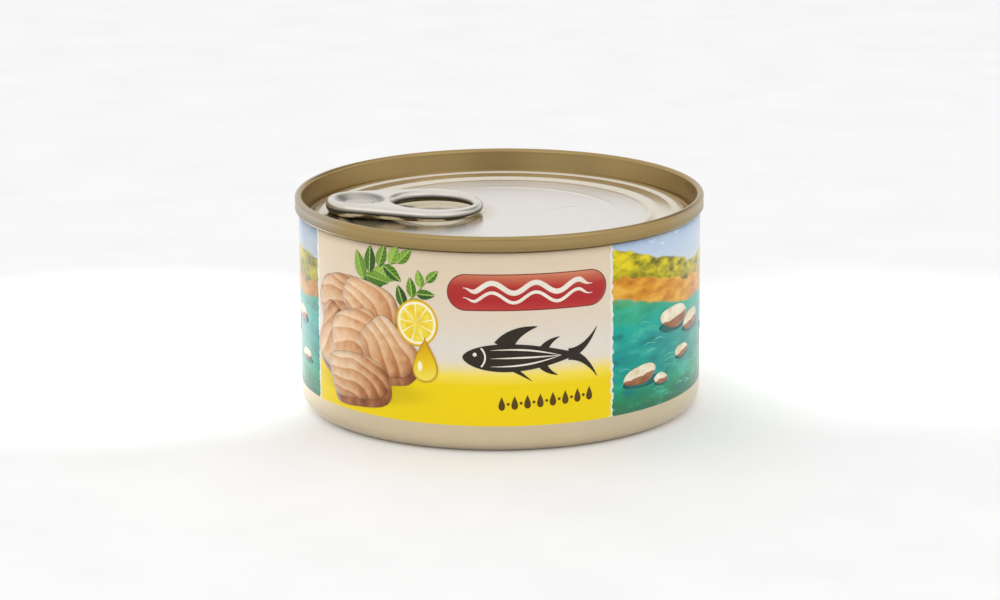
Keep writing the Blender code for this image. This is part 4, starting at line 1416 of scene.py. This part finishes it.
def make_floor():
    """A large pale floor, well past the edges of the frame, that glows in two soft patches beside the can.

    The level of a patch falls smoothly from its middle to GLOW_RADIUS, and the print mirrors it. Places and
    sizes on the floor are in metres.
    """
    corners = [(x * FLOOR_HALF, y * FLOOR_HALF, 0.0) for x, y in ((-1, -1), (1, -1), (1, 1), (-1, 1))]
    mesh = bpy.data.meshes.new("studio_floor")
    mesh.from_pydata(corners, [], [(0, 1, 2, 3)])
    floor = bpy.data.objects.new("studio_floor", mesh)
    bpy.context.scene.collection.objects.link(floor)
    material, tree, shader = new_material("studio_paper")
    position = add(tree, "ShaderNodeTexCoord").outputs["Object"]
    fibre = add(tree, "ShaderNodeTexNoise", {"Vector": position, "Scale": 40.0, "Detail": 2.0}).outputs[0]
    tree.links.new(ramp(tree, fibre, [(0.3, ink(246, 246, 246)), (0.7, ink(250, 250, 250))]),
                   shader.inputs["Base Color"])
    shader.inputs["Roughness"].default_value = 0.9
    glow = 0.0
    for x, y, level in GLOWS:
        apart = add(tree, "ShaderNodeVectorMath", {0: position, 1: (x, y, 0.0)}, operation="DISTANCE")
        patch = soft_edge(tree, apart.outputs["Value"], 0.5 * GLOW_RADIUS, -GLOW_RADIUS)
        glow = calc(tree, "MULTIPLY_ADD", patch, level, glow)
    shader.inputs["Emission Color"].default_value = (1.0, 1.0, 1.0, 1.0)
    tree.links.new(glow, shader.inputs["Emission Strength"])
    mesh.materials.append(material)
    return floor


def soft_light(name, place):
    """A square area light at a place in metres, turned towards the foot of the can."""
    data = bpy.data.lights.new(name, "AREA")
    data.shape = "SQUARE"
    data.size = SOFTBOX_SIZE
    data.energy = SOFTBOX_POWER
    light = bpy.data.objects.new(name, data)
    bpy.context.scene.collection.objects.link(light)
    towards = Vector(SOFTBOX_AIM) - Vector(place)
    light.matrix_world = Matrix.Translation(place) @ towards.to_track_quat("-Z", "Y").to_matrix().to_4x4()
    return light


def make_room():
    """World light by direction only: bright overhead and behind, dimmer low in front and far right."""
    world = bpy.data.worlds.new("studio_room")
    world.use_nodes = True
    bpy.context.scene.world = world
    tree = world.node_tree
    direction = add(tree, "ShaderNodeTexCoord").outputs["Generated"]
    split = add(tree, "ShaderNodeSeparateXYZ", {0: direction})
    low = calc(tree, "SUBTRACT", 1.0, soft_edge(tree, split.outputs[2], 0.5, 0.5))
    front = soft_edge(tree, calc(tree, "MULTIPLY", split.outputs[1], -1.0), 0.55, 0.5)
    shade = calc(tree, "MULTIPLY", low, front)
    level = calc(tree, "MULTIPLY_ADD", shade, FRONT_SHADE - ROOM_LEVEL, ROOM_LEVEL)
    right = soft_edge(tree, split.outputs[0], 0.26, 0.20)
    behind = soft_edge(tree, split.outputs[1], 0.45, 0.30)
    raised = soft_edge(tree, split.outputs[2], 0.34, 0.16)
    flag = calc(tree, "MULTIPLY", calc(tree, "MULTIPLY", right, behind), raised)
    level = calc(tree, "MULTIPLY", level, calc(tree, "MULTIPLY_ADD", flag, SIDE_SHADE - 1.0, 1.0))
    tree.nodes["Background"].inputs["Color"].default_value = (1.0, 1.0, 1.0, 1.0)
    tree.links.new(level, tree.nodes["Background"].inputs["Strength"])
    return world


make_floor()
make_room()
soft_light("key_softbox", (-0.62, -0.98, 0.66))
soft_light("fill_softbox", (0.70, -0.92, 0.66))
bpy.context.scene.view_settings.view_transform = "Standard"
bpy.context.scene.view_settings.look = "None"
print("floor, room and two soft lights")
